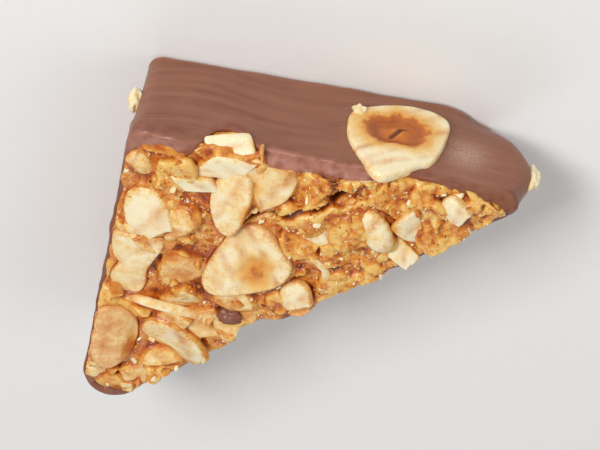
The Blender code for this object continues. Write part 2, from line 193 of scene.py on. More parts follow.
def depth_inside(places):
    """How far each place is inside the rounded outline, and the way in, for arrays of places."""
    depths, ways = np.full(len(places), np.inf), np.zeros((len(places), 2))
    for number, (corner, way) in enumerate(zip(CORNERS, WAYS)):
        depth = (places - np.array(corner)) @ np.array(inward(way))
        if number == LONG_CUT:
            from_tip = (np.array(CORNERS[2]) - places) @ np.array(way)
            depth -= BAY_DEPTH * np.exp(-(((from_tip - BAY_PLACE) / BAY_HALF_WIDTH) ** 2))
        nearer = depth < depths
        depths[nearer], ways[nearer] = depth[nearer], np.array(inward(way))
    for number, radius in enumerate(CORNER_RADII):
        off = places - np.array(round_of(number)[0])
        at_it = (off @ np.array(WAYS[number - 1]) > 0.0) & (off @ np.array(WAYS[number]) < 0.0)
        far = np.maximum(np.linalg.norm(off, axis=1), NOT_ZERO)
        depths[at_it] = (radius - far)[at_it]
        ways[at_it] = (-off / far[:, None])[at_it]
    return depths, ways


print("the outline has", len(outline(0.0)), "points, and", len(outline(0.0, 5)), "when finer")

# %% [markdown]
# ## Heights
#
# Two surfaces matter: the uneven rim where the chocolate ends, and the lumpy top of the nut
# layer. Each could be sculpted by hand. Smooth noise over the plan is better, because every
# piece that asks for a height at a place gets the same gentle ups and downs.

# %% Heights of the rim and of the nut layer
RIM_HEIGHT = 15.2 * MM
RIM_WAVE = 0.7 * MM
WAVE_LENGTH = 9.0 * MM
RIPPLE = (0.6, 2.3)  # smaller waves on the rim: their share of the height, how much finer
DIP_PLACE = 12.6 * MM  # along the front wall, where nuts break through the rim
DIP_DEPTH = 2.8 * MM
DIP_HALF_WIDTH = 3.0 * MM
LAYER_LEVEL = 15.0 * MM
LAYER_DOME = 0.9 * MM
DOME_WIDTH = 9.0 * MM
LUMP_HEIGHT = 0.6 * MM
LUMP_LENGTH = 5.0 * MM
LUMP_LEVEL = 3.0 * LUMP_LENGTH  # other ups and downs than the rim's, which are read at level 0


def waver(place, length, finer=1.0):
    """Smooth noise over the plan, with ups and downs of about this length."""
    return noise.noise(Vector((place.x, place.y, 0.0)) / length * finer)


def rim_height(point):
    """The height of the chocolate's uneven rim, with its dip in the front wall."""
    share, finer = RIPPLE
    wave = RIM_WAVE * (waver(point, WAVE_LENGTH) + share * waver(point, WAVE_LENGTH, finer))
    from_dip = (point - spot(DIP_PLACE, 0.0)).length
    return RIM_HEIGHT + wave - DIP_DEPTH * bump(from_dip, DIP_HALF_WIDTH, 4)


def layer_height(point):
    """The height of the nut layer's lumpy surface."""
    place = Vector((point.x, point.y, LUMP_LEVEL)) / LUMP_LENGTH
    rise = min(max(inside_by(point) / DOME_WIDTH, 0.0), 1.0)
    return LAYER_LEVEL + LAYER_DOME * rise * (2.0 - rise) + LUMP_HEIGHT * noise.noise(place)


print("the nut layer's height, in mm:", round(layer_height(Vector((0.0, 0.0))) / MM, 2))

# %% [markdown]
# ## Helpers for meshes
#
# Most pieces here are rings of points joined by faces, so one helper draws a closed skin
# through any stack of rings. Values that a finish needs, such as how near a point is to an
# edge, are stored on the mesh as named attributes: a material can read them by name.


# %% Mesh helpers
def link(thing):
    """Puts the object into the scene."""
    bpy.context.scene.collection.objects.link(thing)
    return thing


def mesh_object(name, points, faces, **attributes):
    """An object from points and faces, with a value for each point under each name."""
    mesh = bpy.data.meshes.new(name)
    mesh.from_pydata([tuple(point) for point in points], [], faces)
    for key, values in attributes.items():
        store(mesh, key, values)
    mesh.shade_smooth()
    return link(bpy.data.objects.new(name, mesh))


def store(mesh, key, values):
    """Keeps one number, or one vector, for each point of the mesh."""
    values = np.asarray(values, np.float32)
    kind, field = ("FLOAT", "value") if values.ndim == 1 else ("FLOAT_VECTOR", "vector")
    mesh.attributes.new(key, kind, "POINT").data.foreach_set(field, values.ravel())


def read(items, field, width, kind=float):
    """What a mesh's points or edges hold in a field, as rows of an array."""
    values = np.empty(len(items) * width, kind)
    items.foreach_get(field, values)
    return values.reshape(-1, width)


def skin_faces(rows, columns):
    """Faces between rings of `columns` points each, lowest ring first, and both end caps."""
    faces = []
    for row in range(rows - 1):
        for column in range(columns):
            beside = (column + 1) % columns
            low, high = row * columns, (row + 1) * columns
            faces.append((low + column, low + beside, high + beside, high + column))
    faces.append(tuple(reversed(range(columns))))
    faces.append(tuple(range((rows - 1) * columns, rows * columns)))
    return faces


def smooth_step(low, high, value):
    """0 below `low`, 1 above `high`, and an even rise between."""
    share = min(max((value - low) / (high - low), 0.0), 1.0)
    return share * share * (3.0 - 2.0 * share)


def baked(piece, name):
    """A plain mesh object of what the piece's modifiers make; the piece itself goes."""
    seen = piece.evaluated_get(bpy.context.evaluated_depsgraph_get())
    mesh = bpy.data.meshes.new_from_object(seen)
    bpy.data.objects.remove(piece)
    return link(bpy.data.objects.new(name, mesh))


# %% [markdown]
# ## Helpers for finishes
#
# A finish is a small network of shader nodes. Written out in full, each node takes four or
# five lines, so `add_node` makes a node with its settings and its inputs in one call. A value
# in the inputs is either a number or another node's socket. `Finish` holds one material and
# names the few kinds of step that all the finishes here are made of.


# %% Finish helper
def add_node(tree, kind, inputs, settings):
    """A node of this kind; inputs are (socket name or number, value or socket) pairs."""
    made = tree.nodes.new(kind)
    for key, value in settings.items():
        setattr(made, key, value)
    for key, value in inputs:
        if isinstance(value, bpy.types.NodeSocket):
            tree.links.new(value, made.inputs[key])
        else:
            made.inputs[key].default_value = value
    return made


MIX_SOCKETS = (6, 7)  # the two inputs of a Mix node that take colours; the output is the third


class Finish:
    """A material whose nodes are added one call at a time."""

    def __init__(self, name, roughness=0.5, subsurface=0.0, radius=(1.0, 0.5, 0.25), scale=MM):
        self.material = bpy.data.materials.new(name)
        self.material.use_nodes = True
        self.tree = self.material.node_tree
        self.shader = self.tree.nodes["Principled BSDF"]
        self.shader.inputs["Roughness"].default_value = roughness
        self.shader.inputs["Subsurface Weight"].default_value = subsurface
        self.shader.inputs["Subsurface Radius"].default_value = radius
        self.shader.inputs["Subsurface Scale"].default_value = scale

    def add(self, kind, inputs=(), **settings):
        """A shader node, as `add_node` makes it."""
        return add_node(self.tree, "ShaderNode" + kind, inputs, settings)

    def attribute(self, name):
        """The value that a mesh holds under this name."""
        return self.add("Attribute", attribute_name=name).outputs["Fac"]

    def grain(self, size, detail=3.0, stretch=(1.0, 1.0, 1.0), rough=0.5, drift=None):
        """Noise with features of this size, longer by `stretch` and moved up by `drift`."""
        place = self.add("TexCoord").outputs["Object"]
        if drift is not None:
            up = self.add("CombineXYZ", [("Z", drift)]).outputs[0]
            place = self.add("VectorMath", [(0, place), (1, up)], operation="ADD").outputs[0]
        scale = [1.0 / (size * way) for way in stretch]
        mapping = self.add("Mapping", [("Vector", place), ("Scale", scale)])
        inputs = [("Vector", mapping.outputs[0]), ("Scale", 1.0), ("Detail", detail)]
        inputs.append(("Roughness", rough))
        return self.add("TexNoise", inputs).outputs["Fac"]

    def steps(self, value, *stops):
        """A colour ramp: stops are (place, colour) pairs."""
        ramp = self.add("ValToRGB", [("Fac", value)])
        points = ramp.color_ramp.elements
        while len(points) < len(stops):
            points.new(0.5)
        for point, (place, colour) in zip(points, stops):
            point.position = place
            point.color = (*colour, 1.0)
        return ramp.outputs["Color"]

    def span(self, value, low, high, to_low=0.0, to_high=1.0):
        """The value's range from low to high, moved to another range and held there."""
        inputs = [("Value", value), ("From Min", low), ("From Max", high)]
        inputs += [("To Min", to_low), ("To Max", to_high)]
        return self.add("MapRange", inputs).outputs["Result"]

    def maths(self, operation, first, second):
        """One sum, product or the like of two values."""
        return self.add("Math", [(0, first), (1, second)], operation=operation).outputs[0]

    def mix(self, share, first, second, blend="MIX"):
        """Two colours mixed by a share."""
        inputs = [("Factor", share)]
        for key, value in zip(MIX_SOCKETS, (first, second)):
            is_socket = isinstance(value, bpy.types.NodeSocket)
            inputs.append((key, value if is_socket else (*value, 1.0)))
        return self.add("Mix", inputs, data_type="RGBA", blend_type=blend).outputs[2]

    def relief(self, *layers):
        """Bump on the shader: layers are (value, height) pairs, laid over each other."""
        below = None
        for value, height in layers:
            inputs = [("Height", value), ("Distance", height), ("Strength", 1.0)]
            if below is not None:
                inputs.append(("Normal", below))
            below = self.add("Bump", inputs).outputs["Normal"]
        self.tree.links.new(below, self.shader.inputs["Normal"])

    def set(self, socket, value):
        """Leads a value or a colour into the shader."""
        self.tree.links.new(value, self.shader.inputs[socket])


def colour(*levels):
    """A screen colour, from levels of 0 to 255, as the linear values that shaders use (sRGB)."""
    return tuple(((c / 255 + 0.055) / 1.055) ** 2.4 if c > 10 else c / 3294.6 for c in levels)


# %% [markdown]
# ## Milk chocolate
#
# Milk chocolate that has set in air is satin, not shiny: smooth, a little waxy, with faint
# streaks where it ran along the wall. Three things make it: a brown that wavers along the
# streaks, a fine low relief in the same direction, and a roughness near 0.4. Where the
# chocolate is thin over the nuts it turns redder, and along the lip's edge that red-brown is
# also painted shade. Pink on the lip is a painted highlight, where its round edge catches the
# light. One spot has a pale bloom, and a pale line along the base is a painted highlight on the
# rounded base edge. The mesh says where, in its attributes for thin chocolate and painted
# shade, for the painted pink highlight, and for the bloom and the painted base highlight, and
# how far the streaks wander up or down, in `drift`.

# %% Chocolate finish
COCOA_DARK = colour(120, 70, 50)
COCOA = colour(138, 85, 62)
COCOA_LIGHT = colour(158, 105, 81)
# red-brown of thin chocolate over the nuts; along the lip's edge it is also painted shade
COCOA_THIN_AND_SHADE = colour(124, 58, 38)
# painted highlight: the pink where the lip's round edge catches the light
COCOA_PINK_HIGHLIGHT = colour(180, 122, 104)
# a pale bloom, and also the colour of the painted highlight along the base edge
COCOA_BLOOM_AND_HIGHLIGHT = colour(192, 162, 144)


def chocolate_finish():
    """Satin milk chocolate with streaks along the walls."""
    made = Finish("milk_chocolate", subsurface=0.06, radius=(1.0, 0.45, 0.3), scale=0.8 * MM)
    drift = made.attribute("drift")
    streaks = made.grain(0.4 * MM, 4.0, stretch=(30.0, 30.0, 1.0), drift=drift)
    bands = made.grain(1.5 * MM, 2.0, stretch=(14.0, 14.0, 1.0), drift=drift)
    clouds = made.grain(7.0 * MM, 2.0)
    specks = made.grain(0.35 * MM, 3.0)
    knots = made.grain(1.3 * MM, 3.0)
    base = made.steps(clouds, (0.3, COCOA_DARK), (0.55, COCOA))
    base = made.mix(made.span(bands, 0.42, 0.7, 0.0, 0.55), base, COCOA_LIGHT)
    base = made.mix(made.span(streaks, 0.4, 0.75, 0.0, 0.4), base, COCOA_LIGHT)
    base = made.mix(made.span(streaks, 0.45, 0.25, 0.0, 0.35), base, COCOA_DARK)
    base = made.mix(made.span(specks, 0.62, 0.8, 0.0, 0.2), base, COCOA_DARK)
    # patches of the thin red-brown: real where the chocolate is thin, and painted shade along the lip's
    # edge
    edge = made.steps(knots, (0.3, COCOA_THIN_AND_SHADE), (0.58, COCOA))
    base = made.mix(made.attribute("thin"), base, edge)
    # the pink on the lip is a painted highlight, made patchy by the knots noise
    pink_highlight = made.maths("MULTIPLY", made.attribute("pink_highlight"), made.span(knots, 0.3, 0.62, 0.2, 1.0))
    base = made.mix(pink_highlight, base, COCOA_PINK_HIGHLIGHT)
    # a pale bloom in one spot, and the painted highlight along the base edge
    bloom_and_highlight = made.maths("MULTIPLY", made.attribute("bloom_and_highlight"), made.span(specks, 0.3, 0.65, 0.3, 1.0))
    made.set("Base Color", made.mix(bloom_and_highlight, base, COCOA_BLOOM_AND_HIGHLIGHT))
    made.set("Roughness", made.span(streaks, 0.3, 0.7, 0.33, 0.46))
    made.relief((bands, 0.06 * MM), (streaks, 0.05 * MM), (specks, 0.02 * MM))
    return made.material


MILK_CHOCOLATE = chocolate_finish()
print("finish:", MILK_CHOCOLATE.name, "with", len(MILK_CHOCOLATE.node_tree.nodes), "nodes")

# %% [markdown]
# ## Where the nuts end
#
# The baked sheet was cut before it was dipped, so no nut reaches past the walls. Along the
# long cut wall and the side wall the nuts go out to the edge, with a line that wavers a
# little. Along the front wall and round the tips the chocolate laps in over them, here more
# and there less. `lap` says how far in its edge lies, read evenly between a few places where
# it was measured, and `brim` where the nuts end, a little way under it.

# %% The edges of the chocolate and of the nuts
BRIM = 0.1 * MM  # how far inside the walls the nuts end
BRIM_WAVE = 0.5 * MM
BRIM_LENGTH = 1.6 * MM
FRONT_LAPS = (  # along the front wall, and how far in the chocolate reaches there, in mm
    (0.0, 3.2), (7.4, 2.6), (9.0, 0.8), (12.6, 0.0), (16.2, 0.6), (18.0, 2.0), (22.6, 2.2),
    (26.0, 1.9), (29.0, 1.5), (33.7, 1.0), (37.1, 0.3), (40.5, 0.2), (44.1, 1.0), (47.0, 2.5),
    (49.5, 2.6),
)
LAP_DEPTH = 4.0 * MM  # past this from the front wall, the other walls decide
CORNER_PLACE = 3.4 * MM  # along the front wall, where the chocolate reaches in furthest
CORNER_WIDTH = 5.6 * MM
SIDE_LAP = 2.2 * MM  # at the right angle, from the side wall
BACK_PLACE = (-1.9 * MM, 52.3 * MM)
BACK_REACH = 5.5 * MM
BACK_LAP = 3.2 * MM
LEFT_PLACE = (50.2 * MM, 1.2 * MM)
LEFT_REACH = 3.4 * MM
LEFT_LAP = 1.9 * MM
LAP_OVER = 0.6 * MM  # how far the chocolate lies on the nuts


def at_corner(point):
    """1 near the right angle on the front wall, and 0 far from it."""
    return bump((point - spot(CORNER_PLACE, 0.0)).length, CORNER_WIDTH, 4)


def at_back(point):
    """1 at the back tip, and 0 far from it."""
    return bump((point - spot(*BACK_PLACE)).length, BACK_REACH)


def lap(point):
    """How far inside the walls the chocolate's edge lies."""
    along, back = from_corner(point)
    front = np.interp(along / MM, *zip(*FRONT_LAPS)) * MM
    front *= 1.0 - smooth_step(0.5 * LAP_DEPTH, LAP_DEPTH, back)
    left = LEFT_LAP * bump((point - spot(*LEFT_PLACE)).length, LEFT_REACH)
    return max(front, left, SIDE_LAP * at_corner(point), BACK_LAP * at_back(point))


def brim(point):
    """How far inside the walls the nuts end."""
    wave = BRIM_WAVE * (0.5 + waver(point, BRIM_LENGTH))
    return BRIM + wave + max(lap(point) - LAP_OVER, 0.0)


inset = brim(spot(FRONT_LEG / 2, 0.0))
print("at the middle of the front wall the nuts end", round(inset / MM, 2), "mm in")

# %% [markdown]
# ## Cut flush and pressed flat
#
# What would stand out past the cut has a flat side there. A Boolean cut on some thousand
# pieces is slow and may fail. Here each point that lies outside is moved straight back to the
# cut, which gives the same flat side. The sheet was also pressed flat before it was baked, so
# the highest points are squeezed down softly.

# %% The cut and the press
STANDING_PLACE = (12.8 * MM, 0.0)  # one flake lies across the rim, in its dip
STANDING_REACH = 4.4 * MM
STANDING_PROUD = 0.7 * MM
BACK_SINK = 0.9 * MM  # the nuts lie lower at the back tip
PRESS_FROM = 16.8 * MM  # the height from which on the top is squeezed down
PRESS_ROOM = 1.2 * MM  # how far above that the highest point may be


def cut_flush(piece):
    """Moves the points that stand out past the cut or too high back to where they may be."""
    points = read(piece.data.vertices, "co", 3)
    depths, ways = depth_inside(points[:, :2])
    for number in np.flatnonzero(depths < LAP_DEPTH):
        place = Vector(points[number, :2])
        limit = brim(place)
        if (place - spot(*STANDING_PLACE)).length < STANDING_REACH:
            limit = -STANDING_PROUD
        points[number, :2] += ways[number] * max(limit - depths[number], 0.0)
        points[number, 2] -= BACK_SINK * at_back(place)
    over = np.maximum(points[:, 2] - PRESS_FROM, 0.0)
    points[:, 2] += PRESS_ROOM * np.tanh(over / PRESS_ROOM) - over
    piece.data.vertices.foreach_set("co", points.ravel())
    piece.data.update()
    return piece


# %% [markdown]
# ## The chocolate coat
#
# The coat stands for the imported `chocolate_coat`: underside, three walls and the rim. The
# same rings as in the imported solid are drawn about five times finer, which leaves room for
# the relief that a dipped biscuit has: a thin foot where the chocolate spread on the tray,
# long soft streaks, lumps where it hangs over the nuts, a raised edge round the slice that
# sits in it, and a lip that runs in over the nuts, widest at the right angle.

# %% The walls' forms
TIP_FROM = 40.0 * MM  # the left tip leans out like a bow: how far along that begins
TIP_LENGTH = 9.5 * MM
TIP_CUT = 3.8 * MM  # its base is cut back by this
TIP_BULGE = 1.9 * MM  # and it swells out by this, higher up
TIP_BULGE_HEIGHT = 9.8 * MM
TIP_SOFTNESS = 3.6 * MM
TIP_NARROW = 2.8 * MM  # its base is cut back from the front wall too
TIP_NARROW_FROM = 38.0 * MM
TIP_NARROW_LENGTH = 10.0 * MM
CORNER_RISE = 0.9 * MM  # the wall is higher at the right angle
BACK_RISE = 2.1 * MM  # and at the back tip
EDGE_HEAP = 0.7 * MM  # the caramel is thicker along its edge
EDGE_HEAP_WIDTH = 3.5 * MM
RAGGED = 0.35 * MM  # how much the lip's edge wavers
RAGGED_LENGTH = 2.0 * MM
LIP_RAGS = (0.5, 2.7)  # its smaller wavers: their share, how much finer
RIM_WALL = 1.1 * MM  # how thick the wall is at its rim


def bowed(point, height):
    """The point of a wall, moved where the left tip leans out over its base."""
    along, back = from_corner(point)
    low = bump(height, TIP_SOFTNESS)
    bulge = TIP_BULGE * bump(height - TIP_BULGE_HEIGHT, TIP_SOFTNESS)
    lean = (TIP_CUT * low - bulge) * smooth_step(TIP_FROM, TIP_FROM + TIP_LENGTH, along)
    off_long_cut = max(1.0 - back / (FRONT_LEG - along), 0.0)
    narrow = TIP_NARROW * low * off_long_cut
    narrow *= smooth_step(TIP_NARROW_FROM, TIP_NARROW_FROM + TIP_NARROW_LENGTH, along)
    return point + WAYS[2] * lean + inward(WAYS[2]) * narrow


def crest(point):
    """The height of the wall, with its rises at the right angle and the back tip."""
    return rim_height(point) + CORNER_RISE * at_corner(point) + BACK_RISE * at_back(point)


def caramel_height(point):
    """The height of the caramel, heaped up along its edge, and lower at the back tip."""
    heap = 1.0 - smooth_step(0.0, EDGE_HEAP_WIDTH, inside_by(point))
    back = at_back(point)
    return layer_height(point) + EDGE_HEAP * heap * (1.0 - back) - BACK_SINK * back


def lip(point):
    """How far past the thickness of its wall the chocolate runs in over the nuts."""
    share, finer = LIP_RAGS
    ragged = RAGGED * waver(point, RAGGED_LENGTH)
    ragged += share * RAGGED * waver(point, RAGGED_LENGTH, finer)
    return max(lap(point) + ragged - RIM_WALL, 0.0)


# %% The slice on the front wall, as a curve through a few corners
FRONT_PLACE = (33.3 * MM, 9.8 * MM)  # how far along its middle is, and how high
FRONT_CORNERS = (  # from its middle: along and up, in mm, going round from its tip
    (-1.5, 7.5), (-3.9, 4.7), (-5.8, 1.4), (-6.4, -1.6), (-5.8, -4.4), (-1.8, -6.3), (2.2, -6.9),
    (5.0, -6.2), (6.6, -4.6), (6.4, -1.5), (5.7, 1.6), (4.7, 3.6), (3.4, 4.3), (1.4, 6.0),
)


def loop_through(corners, count):
    """A smooth closed line through a few corners, as points (Catmull-Rom), in metres."""
    corners = [Vector(corner) * MM for corner in corners]
    points = []
    for step in range(count):
        place = step / count * len(corners)
        first = int(place)
        share = place - first
        a, b, c, d = (corners[(first + offset) % len(corners)] for offset in (-1, 0, 1, 2))
        bend = (a * -1 + b * 3 - c * 3 + d) * share**3 + (a * 2 - b * 5 + c * 4 - d) * share**2
        points.append(b + ((c - a) * share + bend) * 0.5)
    return points


FRONT_LOOP = loop_through(FRONT_CORNERS, 96)


def off_front_slice(along, height):
    """How far a place on the front wall is from the edge of its slice."""
    place = Vector((along - FRONT_PLACE[0], height - FRONT_PLACE[1]))
    return min((place - point).length for point in FRONT_LOOP)


# %% Relief of the walls
BASE_INSET = 0.6 * MM  # the walls lean in by this from the rim down to the base
STREAK = 0.025 * MM
STREAK_SIZE = (11.0, 11.0, 0.45)  # long streaks: their size along X, Y and Z, in mm
SAG = 3.0 * STREAK
SAG_SIZE = 6.0 * MM
FOOT = 0.28 * MM
FOOT_HEIGHT = 0.75 * MM
FOOT_WIDTH = 0.4 * MM
FOOT_SIZE = 4.0 * MM
LUMP = 0.5 * MM
LUMP_SIZE = 1.9 * MM
LUMP_REACH = 4.0 * MM  # how far below the rim the nuts still show through
LUMP_SHARE = 0.1  # added to the noise, so that a little more than half of the wall has lumps
COLLAR = 0.32 * MM  # the raised edge round the slice
COLLAR_WIDTH = 0.6 * MM
COLLAR_REACH = 9.0 * MM  # from the slice's middle, which saves looking at each point


def wall_relief(point, height, rim):
    """How far the chocolate stands out of the plain wall here."""
    place = Vector((point.x, point.y, height))
    long, wide, high = STREAK_SIZE
    streak = STREAK * noise.noise(Vector((point.x / long, point.y / wide, height / high)) / MM)
    sag = SAG * noise.noise(place / SAG_SIZE)
    foot = FOOT * bump(height - FOOT_HEIGHT, FOOT_WIDTH)
    foot *= 0.6 + noise.noise(place / FOOT_SIZE)
    under_rim = 1.0 - smooth_step(0.0, LUMP_REACH * (1.0 + at_corner(point)), rim - height)
    lump = LUMP * under_rim * max(noise.noise(place / LUMP_SIZE) + LUMP_SHARE, 0.0)
    lump *= 0.5 + at_corner(point)
    collar = 0.0
    along, back = from_corner(point)
    if back < BASE_INSET + RIM_WALL and abs(along - FRONT_PLACE[0]) < COLLAR_REACH:
        collar = COLLAR * bump(off_front_slice(along, height), COLLAR_WIDTH)
    return streak + sag + foot + lump + collar


# %% Colours of the walls
BLOOM = 0.8
BLOOM_PLACE = (42.6 * MM, 9.6 * MM)  # along the front wall, and height
BLOOM_RADIUS = 2.4 * MM
# painted highlight: a pale line where the rounded base edge catches the light
BASE_HIGHLIGHT = (0.6, 0.45 * MM, 0.35 * MM)  # a pale line along the base: how pale, height, width
# The pink on the lip and just under it is a painted highlight, where the lip's round edge catches the
# light.
PINK_HIGHLIGHT_BELOW = 1.0 * MM  # how far down the wall the pink goes
PINK_HIGHLIGHT_FROM = (14.0 * MM, 18.0 * MM)  # along the front wall, where the lip turns pink
PINK_HIGHLIGHT_TO = (28.0 * MM, 36.0 * MM)  # and where it turns brown again
PINK_HIGHLIGHT_AT_CORNER = 0.75


def bloom_and_highlight_at(place):
    """How pale the chocolate is here: a painted highlight along its rounded base edge, and a pale bloom
    in one spot of the front wall.
    """
    pale, height, width = BASE_HIGHLIGHT
    line = pale * bump(place.z - height, width)
    along, back = from_corner(place)
    if back > BASE_INSET:
        return line
    return line + BLOOM * bump((Vector((along, place.z)) - Vector(BLOOM_PLACE)).length, BLOOM_RADIUS)


def pink_highlight_share(place):
    """How much painted pink highlight the chocolate's lip gets here: at the right angle and along the
    front wall.
    """
    along, back = from_corner(place)
    share = smooth_step(*PINK_HIGHLIGHT_FROM, along) * (1.0 - smooth_step(*PINK_HIGHLIGHT_TO, along))
    share *= 1.0 - smooth_step(LAP_DEPTH, 1.5 * LAP_DEPTH, back)
    return max(share, PINK_HIGHLIGHT_AT_CORNER * at_corner(place.xy))


# %% Build the coat
FINER = 5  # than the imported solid's outline
RIM_ROUND = 0.3 * MM
RIM_STEPS = 3
BASE_ROUND = 1.1 * MM
BASE_STEPS = 8
WALL_ROWS = 38
RECESS_FLOOR = 9.6 * MM  # of the hollow that holds the nut layer
LIP_SIZE = 1.3 * MM  # lumps on the lip
LIP_RISE = 0.3 * MM
LIP_THICKNESS = 0.4 * MM
BASE_SHARES = (0.04, 0.2, 0.4, 0.6, 0.8, 0.94)  # rings under the base, from its middle out
LIP_SHARES = (0.15, 0.3, 0.45, 0.6, 0.75, 0.88, 1.0)  # rings over the lip, on its way in
LIP_START = 0.4 * MM  # a lip that is shorter than this rises less over the nuts
WALL_SWELL = 0.15 * MM
THIN_REACH = 1.9 * MM  # how far below the rim the chocolate is thin
THIN_EDGE = (0.3, 0.9)  # the share of that over which it gets thick
THIN_WAVE = 0.4
# on the rim and the lip the thin red-brown is partly painted shade
THIN_ON_WALL, THIN_AND_SHADE_ON_RIM, THIN_AND_SHADE_ON_LIP = 0.85, 0.6, 0.8
# how much painted pink highlight the wall just under the rim and the rim itself get
PINK_HIGHLIGHT_ON_WALL, PINK_HIGHLIGHT_ON_RIM = 0.8, 0.9
DRIFT = 2.4 * MM  # how far the streaks wander
DRIFT_LENGTH = 16.0 * MM


def coat():
    """The chocolate as rings of points: under the base, up the walls, over the rim and in."""
    edge, inner = outline(0.0, FINER), outline(MM, FINER)
    out = [(a - b) / MM for a, b in zip(edge, inner)]
    rims = [crest(point) for point in edge]
    middle = (CORNERS[0] + CORNERS[1] + CORNERS[2]) / 3
    rings, thin, pink_highlights = [], [], []

    def ring(points, thinness=0.0, highlight_share=0.0):
        rings.extend(points)
        thin.extend([thinness] * len(points))
        pink_highlights.extend([highlight_share] * len(points))

    foot_ring = [bowed(point, 0.0) for point in outline(BASE_INSET + BASE_ROUND, FINER)]
    for share in BASE_SHARES:
        ring([Vector((*middle.lerp(point, share), 0.0)) for point in foot_ring])
    for step in range(BASE_STEPS + 1):
        angle = math.pi / 2 * step / BASE_STEPS
        inset = BASE_INSET + BASE_ROUND * (1.0 - math.sin(angle))
        height = BASE_ROUND * (1.0 - math.cos(angle))
        points = [bowed(point, height) for point in outline(inset, FINER)]
        push = [wall_relief(point, height, 1.0) * math.sin(angle) for point in points]
        ring([Vector((*(p + o * d), height)) for p, o, d in zip(points, out, push)])
    for row in range(1, WALL_ROWS + 1):
        share = row / WALL_ROWS
        for point, rim, way in zip(outline(BASE_INSET * (1.0 - share), FINER), rims, out):
            height = (rim - RIM_ROUND) * share + BASE_ROUND * (1.0 - share)
            place = Vector((*bowed(point, height), height))
            swell = WALL_SWELL * noise.noise(place / WAVE_LENGTH)
            place += Vector((*place.xy.normalized(), 0.0)) * swell
            place += Vector((*way, 0.0)) * wall_relief(point, height, rim)
            rings.append(place)
            below = (rim - height) / THIN_REACH / (1.0 + at_corner(point))
            below += THIN_WAVE * noise.noise(place / LUMP_SIZE)
            thin.append(THIN_ON_WALL * (1.0 - smooth_step(*THIN_EDGE, below)))
            pink_highlights.append(PINK_HIGHLIGHT_ON_WALL * smooth_step(PINK_HIGHLIGHT_BELOW, 0.0, rim - height))
    for step in range(1, RIM_STEPS + 1):
        angle = math.pi / 2 * step / RIM_STEPS
        points = outline(RIM_ROUND * (1.0 - math.cos(angle)), FINER)
        push = [wall_relief(p, rim, rim) * math.cos(angle) for p, rim in zip(points, rims)]
        heights = [rim - RIM_ROUND * (1.0 - math.sin(angle)) for rim in rims]
        points = [Vector((*(p + o * d), z)) for p, o, d, z in zip(points, out, push, heights)]
        ring(points, THIN_AND_SHADE_ON_RIM, PINK_HIGHLIGHT_ON_RIM)
    wall_top = outline(RIM_WALL, FINER)
    ways = depth_inside(np.array(wall_top))[1]
    for share in LIP_SHARES:
        points = []
        for start, point, rim, way in zip(outline(RIM_ROUND, FINER), wall_top, rims, ways):
            reach = lip(point)
            place = start.lerp(point + Vector(way) * reach, share)
            over = caramel_height(place) + LIP_RISE + LIP_RISE * waver(place, LIP_SIZE)
            rise = smooth_step(0.0, 1.0, share) * smooth_step(0.0, LIP_START, reach)
            points.append(Vector((*place, rim + (over - rim) * rise)))
        ring(points, THIN_AND_SHADE_ON_LIP, 1.0)
    tops = rings[-len(edge):]
    ring([top - Vector((0.0, 0.0, LIP_THICKNESS)) for top in tops], THIN_AND_SHADE_ON_LIP, 1.0)
    ring([Vector((*point, rim - 2.0 * LIP_THICKNESS)) for point, rim in zip(wall_top, rims)])
    ring([Vector((*point, RECESS_FLOOR)) for point in wall_top])
    faces = skin_faces(len(rings) // len(edge), len(edge))
    bloom_and_highlight = [bloom_and_highlight_at(place) for place in rings]
    drift = [DRIFT * waver(place, DRIFT_LENGTH) for place in rings]
    pink_highlight = [share * pink_highlight_share(place) for share, place in zip(pink_highlights, rings)]
    looks = {"thin": thin, "bloom_and_highlight": bloom_and_highlight, "drift": drift, "pink_highlight": pink_highlight}
    return mesh_object("milk_chocolate_coat", rings, faces, **looks)


chocolate = coat()
chocolate.data.materials.append(MILK_CHOCOLATE)
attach(chocolate, "root")
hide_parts("chocolate_coat")
print("coat:", len(chocolate.data.polygons), "faces")

# %% [markdown]
# ## Where the nuts lie
#
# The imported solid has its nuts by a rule: a few large ones in places of their own, then
# shards on a staggered grid, nuts along the edge, and nibs between them. Over a hundred rows
# could be copied out. The same rule with the same seed gives the same places in fewer lines,
# so every fine nut sits where its plain one does. Each row is: along, back, length and width
# in mm, then turn, tilt and roll in degrees, and the lift over the layer in mm.

